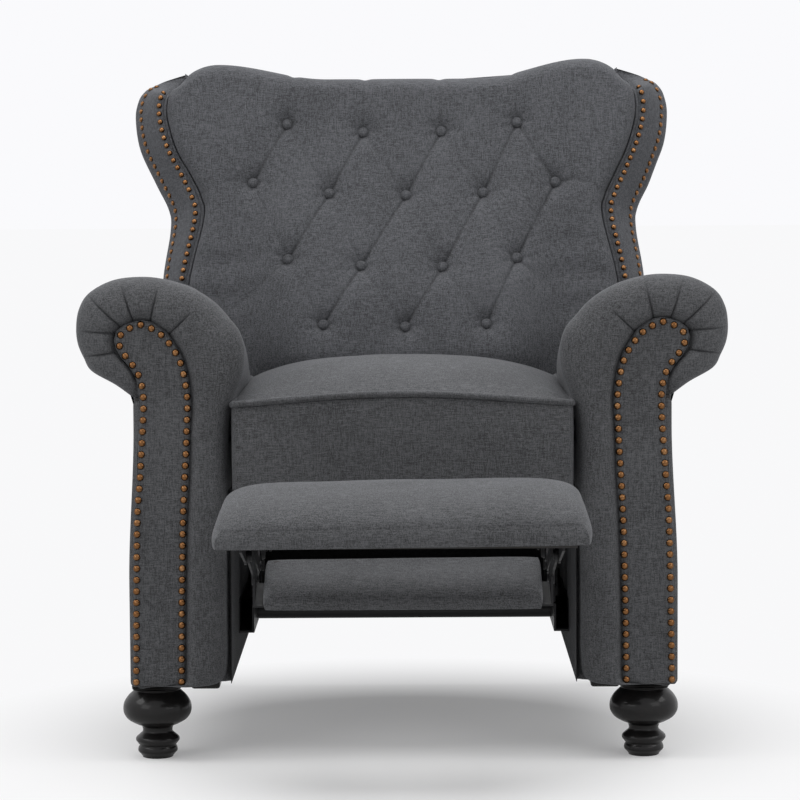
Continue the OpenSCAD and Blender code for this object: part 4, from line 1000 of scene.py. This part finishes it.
def top_strip(name):
    """Cloth over the back's top, from cushion to outer back, crowned by the square."""
    x = TOP_REACH * crowded(181)[:, None]
    v = np.linspace(-15, 17, 25)[None]
    grid = grid_of(x, v, shell_top(x) + 4.5 - 2 * ((v - 1) / 16) ** 2)
    base = rim_points(grid) - np.array([0, 0, 12])
    return pillow(name, in_back(grid), in_back(base), CHARCOAL_BACK, wall=2, bulge=0)


def top_welt(name):
    """Welt along the rear edge of the back's top, from shoulder to shoulder."""
    x = np.linspace(-TOP_REACH, TOP_REACH, 200)
    path = evenly(grid_of(x, 17, shell_top(x) + 1), 320)
    return welt(name, in_back(path), 3, (0, 1, 0.3), CHARCOAL_BACK)


# Footrest

def foot_pad(name, placed, width, y0, length, heights, counts, tilt, wedge=0, soft=1, flare=-1):
    """A wrapped board: a crown (1 - |a|^9)^0.5 (1 - |b|^2.6)^0.6 over a rim with drawn-in corners and bulging
    walls. heights are of underside, rim and top; tilt is the rise of underside and top per millimetre to the
    right; wedge is the top's fall to the rear; soft is how much is rounded; flare widens the underside."""
    a = crowded(counts[0])[None]
    b = crowded(counts[1])[:, None]
    low, rim_z, top_z = heights
    across = held(1 - np.abs(a) ** (9 + 20 * (1 - soft))) ** 0.5
    crown = across * held(1 - np.abs(b) ** mix(7, 2.6, soft)) ** 0.6
    half_x, half_y, mid_y = width / 2 - 4 * soft, length / 2 - 4 * soft, y0 + length / 2
    x = a * (half_x - 8 * soft * np.abs(b) ** 7)
    y = mid_y + b * (half_y - 7 * soft * np.abs(a) ** 14)
    fall = 0.5 * wedge * smooth((b + 0.5) / 1.4)
    wave = 0.8 * np.sin(x / 33 + 1.2 * np.sin(y / 41)) * np.sin(y / 29 + x / 91)
    z = rim_z - fall + (top_z - rim_z - fall + wave) * crown + tilt[1] * x
    grid = grid_of(x, y, z)
    under_x = a * (half_x + flare - 5 * soft * np.abs(b) ** 8)
    under_y = mid_y + b * (half_y + flare - 4 * soft * np.abs(a) ** 16)
    base = rim_points(grid_of(under_x, under_y, low + tilt[0] * x))
    return pillow(name, placed(grid), placed(base), CHARCOAL, wall=14, bulge=3.5 * soft)


def build_chair():
    """Makes and binds every piece of the chair."""
    def bind(piece, body, node=None):
        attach(piece, body)
        if node:
            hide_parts(node)

    for side, hand in SIDES.items():
        bind(arm_cover(hand, f"{side}_arm_cover"), "base", f"{side}_arm_pad")
        bind(facing(hand, f"{side}_facing_panel"), "base", f"{side}_arm_facing")
        bind(arm_nails(hand, f"{side}_facing_nails"), "base", f"{side}_arm_nails")
        bind(side_panel(hand, f"{side}_side_cover"), "base", f"{side}_arm_side")
        bind(arm_rear(hand, f"{side}_arm_rear_cover"), "base")
        bind(turned_foot(hand, f"{side}_turned_foot"), "base", f"{side}_front_foot")
        bind(square_block(hand, f"{side}_foot_plinth", (FOOT_X[hand], FOOT_Y), (64, 66), (97.8, BASE_LOW)),
             "base")
        bind(square_block(hand, f"{side}_tapered_leg", (314, 600), (44, 62), (0, BASE_LOW), 14),
             "base", f"{side}_rear_leg")
        bind(seat_side_cloth(hand, f"{side}_seat_side_cloth"), "seat")
        bind(wing_band(hand, f"{side}_wing_cover"), "back", f"{side}_wing_band")
        bind(wing_nails(hand, f"{side}_wing_dome_nails"), "back", f"{side}_wing_nails")
        bind(wing_welt(hand, f"{side}_outer_back_welt", 1, -3, BAND_REAR + 3, 3.4), "back")
        bind(wing_welt(hand, f"{side}_wing_welt", 0, 2, BAND_INNER - 1, 2.4), "back")
    bind(rear_panel("rear_base_panel"), "base", "rear_cover")
    bind(lining("base_lining"), "base")
    for side, left, right in (("left", -237.5, -212.8), ("middle", -206.2, 206.2), ("right", 212.8, 237.5)):
        bind(dust_cloth(f"{side}_dust_cloth", left, right), "base")
    bind(seat_cushion("crowned_seat"), "seat", "seat_cushion")
    bind(seat_border("seat_front_border"), "seat", "seat_border")
    bind(seat_welt("seat_edge_welt"), "seat", "seat_welt")
    bind(seat_rear_cloth("seat_rear_cloth"), "seat")
    bind(back_cushion("tufted_back"), "back", "back_cushion")
    bind(buttons("tuft_buttons"), "back", "back_buttons")
    bind(outer_back("outer_back_cover"), "back", "outer_back")
    bind(top_strip("back_top_strip"), "back")
    bind(top_welt("back_top_welt"), "back")
    on_rest = tilted((-223.1, 332.7), math.radians(3.5))
    on_middle = tilted((-138.9, 264.1), math.radians(25))
    rest = foot_pad("footrest_cushion", on_rest, 468, -236, 258, (38.6, 62, 94.5), (151, 91),
                    (0.009, 0.014), flare=4.5)
    middle = foot_pad("middle_cushion", on_middle, 370, -60, 120, (0.8, 15, 27), (121, 61),
                      (0, 0.008), wedge=16.5, soft=0.3)
    bind(rest, "footrest", "footrest_pad")
    bind(middle, "middle_rest", "middle_pad")


build_chair()

# Finishes of the frame's own nodes
for node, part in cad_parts.items():
    plain = node.replace("left_", "").replace("right_", "")
    if plain in ("arm_frame", "rear_rail", "footrest_board", "middle_board"):
        finish = STAINED_WOOD
    elif plain in ("seat_frame", "back_core"):
        finish = FRAME_WOOD
    elif plain == "seat_springs":
        finish = SPRING_STEEL
    else:
        finish = STEEL_BLACK
    part.data.materials.clear()
    part.data.materials.append(finish)


# Floor, light and camera

# Lamps: name, place, where they point, size and power
LAMPS = (
    ("overhead", (0, 0.12, 2.9), (0, 0.1, 0.3), 2.4, 58),
    ("left_front", (-2.4, -2.6, 1.9), (0, 0, 0.5), 1.8, 18.5),
    ("right_front", (2.4, -2.6, 1.9), (0, 0, 0.5), 1.8, 15),
    ("left_side", (-2.3, -0.5, 2.3), (0, 0, 0.5), 1.2, 16),
    ("right_side", (2.3, -0.5, 2.3), (0, 0, 0.5), 1.2, 15))
# The photograph's camera: place from the middle of the arms' fronts in metres; degrees of yaw, of pitch from
# straight down, and of roll; focal length and width in the photograph's pixels; the sensor's millimetres
CAMERA_AT = (0.0148, -4.2219, 0.841)
CAMERA_TURNS = ((0.2434, "Z"), (90 - 4.5967, "X"), (-0.3519, "Z"))
FOCAL_PIXELS = 3095.3
PHOTO_WIDTH = 800
SENSOR = 36


def seen_rays(net, path):
    """One for camera, glossy and transmission rays, else 0; path is the Light Path node."""
    rays = net.math("ADD", path.outputs["Is Camera Ray"], path.outputs["Is Glossy Ray"])
    return net.math("ADD", rays, path.outputs["Is Transmission Ray"], clamp=True)


def floor_material():
    """Pale floor that keeps the chair's shadow: part diffuse, part plain white, all white far away."""
    material = bpy.data.materials.new("studio floor")
    material.use_nodes = True
    nodes = material.node_tree.nodes
    nodes.remove(nodes["Principled BSDF"])
    net = Net(material.node_tree)
    place = net.add("TexCoord").outputs["Object"]
    distance = net.add("VectorMath", {0: place}, operation="LENGTH").outputs["Value"]
    away = net.between(distance, 0.34, 0.72, 0.24, 1)
    path = net.add("LightPath")
    pale = net.blend(path.outputs["Is Camera Ray"], (0.80, 0.80, 0.80, 1), (0.88, 0.88, 0.88, 1))
    cloth = net.add("BsdfDiffuse", {"Color": pale})
    white = net.add("Emission", {"Color": (0.94, 0.94, 0.95, 1)})
    shader = net.mixed(net.math("MULTIPLY", seen_rays(net, path), away), cloth, white)
    net.feed(nodes["Material Output"], {"Surface": shader})
    return material


def studio():
    """Floor, white world, five soft lamps and the photograph's camera."""
    scene = bpy.context.scene
    mesh = bpy.data.meshes.new("studio_floor")
    mesh.from_pydata([(-14, -9, 0), (14, -9, 0), (14, 30, 0), (-14, 30, 0)], [], [(0, 1, 2, 3)])
    mesh.materials.append(floor_material())
    floor = bpy.data.objects.new("studio_floor", mesh)
    scene.collection.objects.link(floor)

    world = bpy.data.worlds.new("studio")
    scene.world = world
    world.use_nodes = True
    nodes = world.node_tree.nodes
    net = Net(world.node_tree)
    shade = nodes["Background"]
    net.feed(shade, {"Color": (1, 1, 1, 1), "Strength": 0.45})
    white = net.add("Background", {"Color": (0.955, 0.955, 0.975, 1)})
    rays = seen_rays(net, net.add("LightPath"))
    net.feed(nodes["World Output"], {"Surface": net.mixed(rays, shade, white)})

    for name, place, target, size, power in LAMPS:
        data = bpy.data.lights.new(name, "AREA")
        data.size = size
        data.energy = power
        lamp = bpy.data.objects.new(name, data)
        scene.collection.objects.link(lamp)
        lamp.location = place
        way = Vector(target) - Vector(place)
        lamp.rotation_euler = way.to_track_quat("-Z", "Y").to_euler()

    camera_data = bpy.data.cameras.new("photo_camera")
    camera = bpy.data.objects.new("photo_camera", camera_data)
    scene.collection.objects.link(camera)
    scene.camera = camera
    camera_data.sensor_width = SENSOR
    camera_data.lens = FOCAL_PIXELS / PHOTO_WIDTH * SENSOR
    camera_data.clip_end = 100
    turns = [Matrix.Rotation(math.radians(angle), 3, axis) for angle, axis in CAMERA_TURNS]
    camera.rotation_euler = (turns[0] @ turns[1] @ turns[2]).to_euler()
    camera.location = (CAMERA_AT[0], CAMERA_AT[1] + ARM_FRONT_Y * 0.001, CAMERA_AT[2])
    scene.view_settings.view_transform = "Standard"


studio()
bpy.context.view_layer.update()
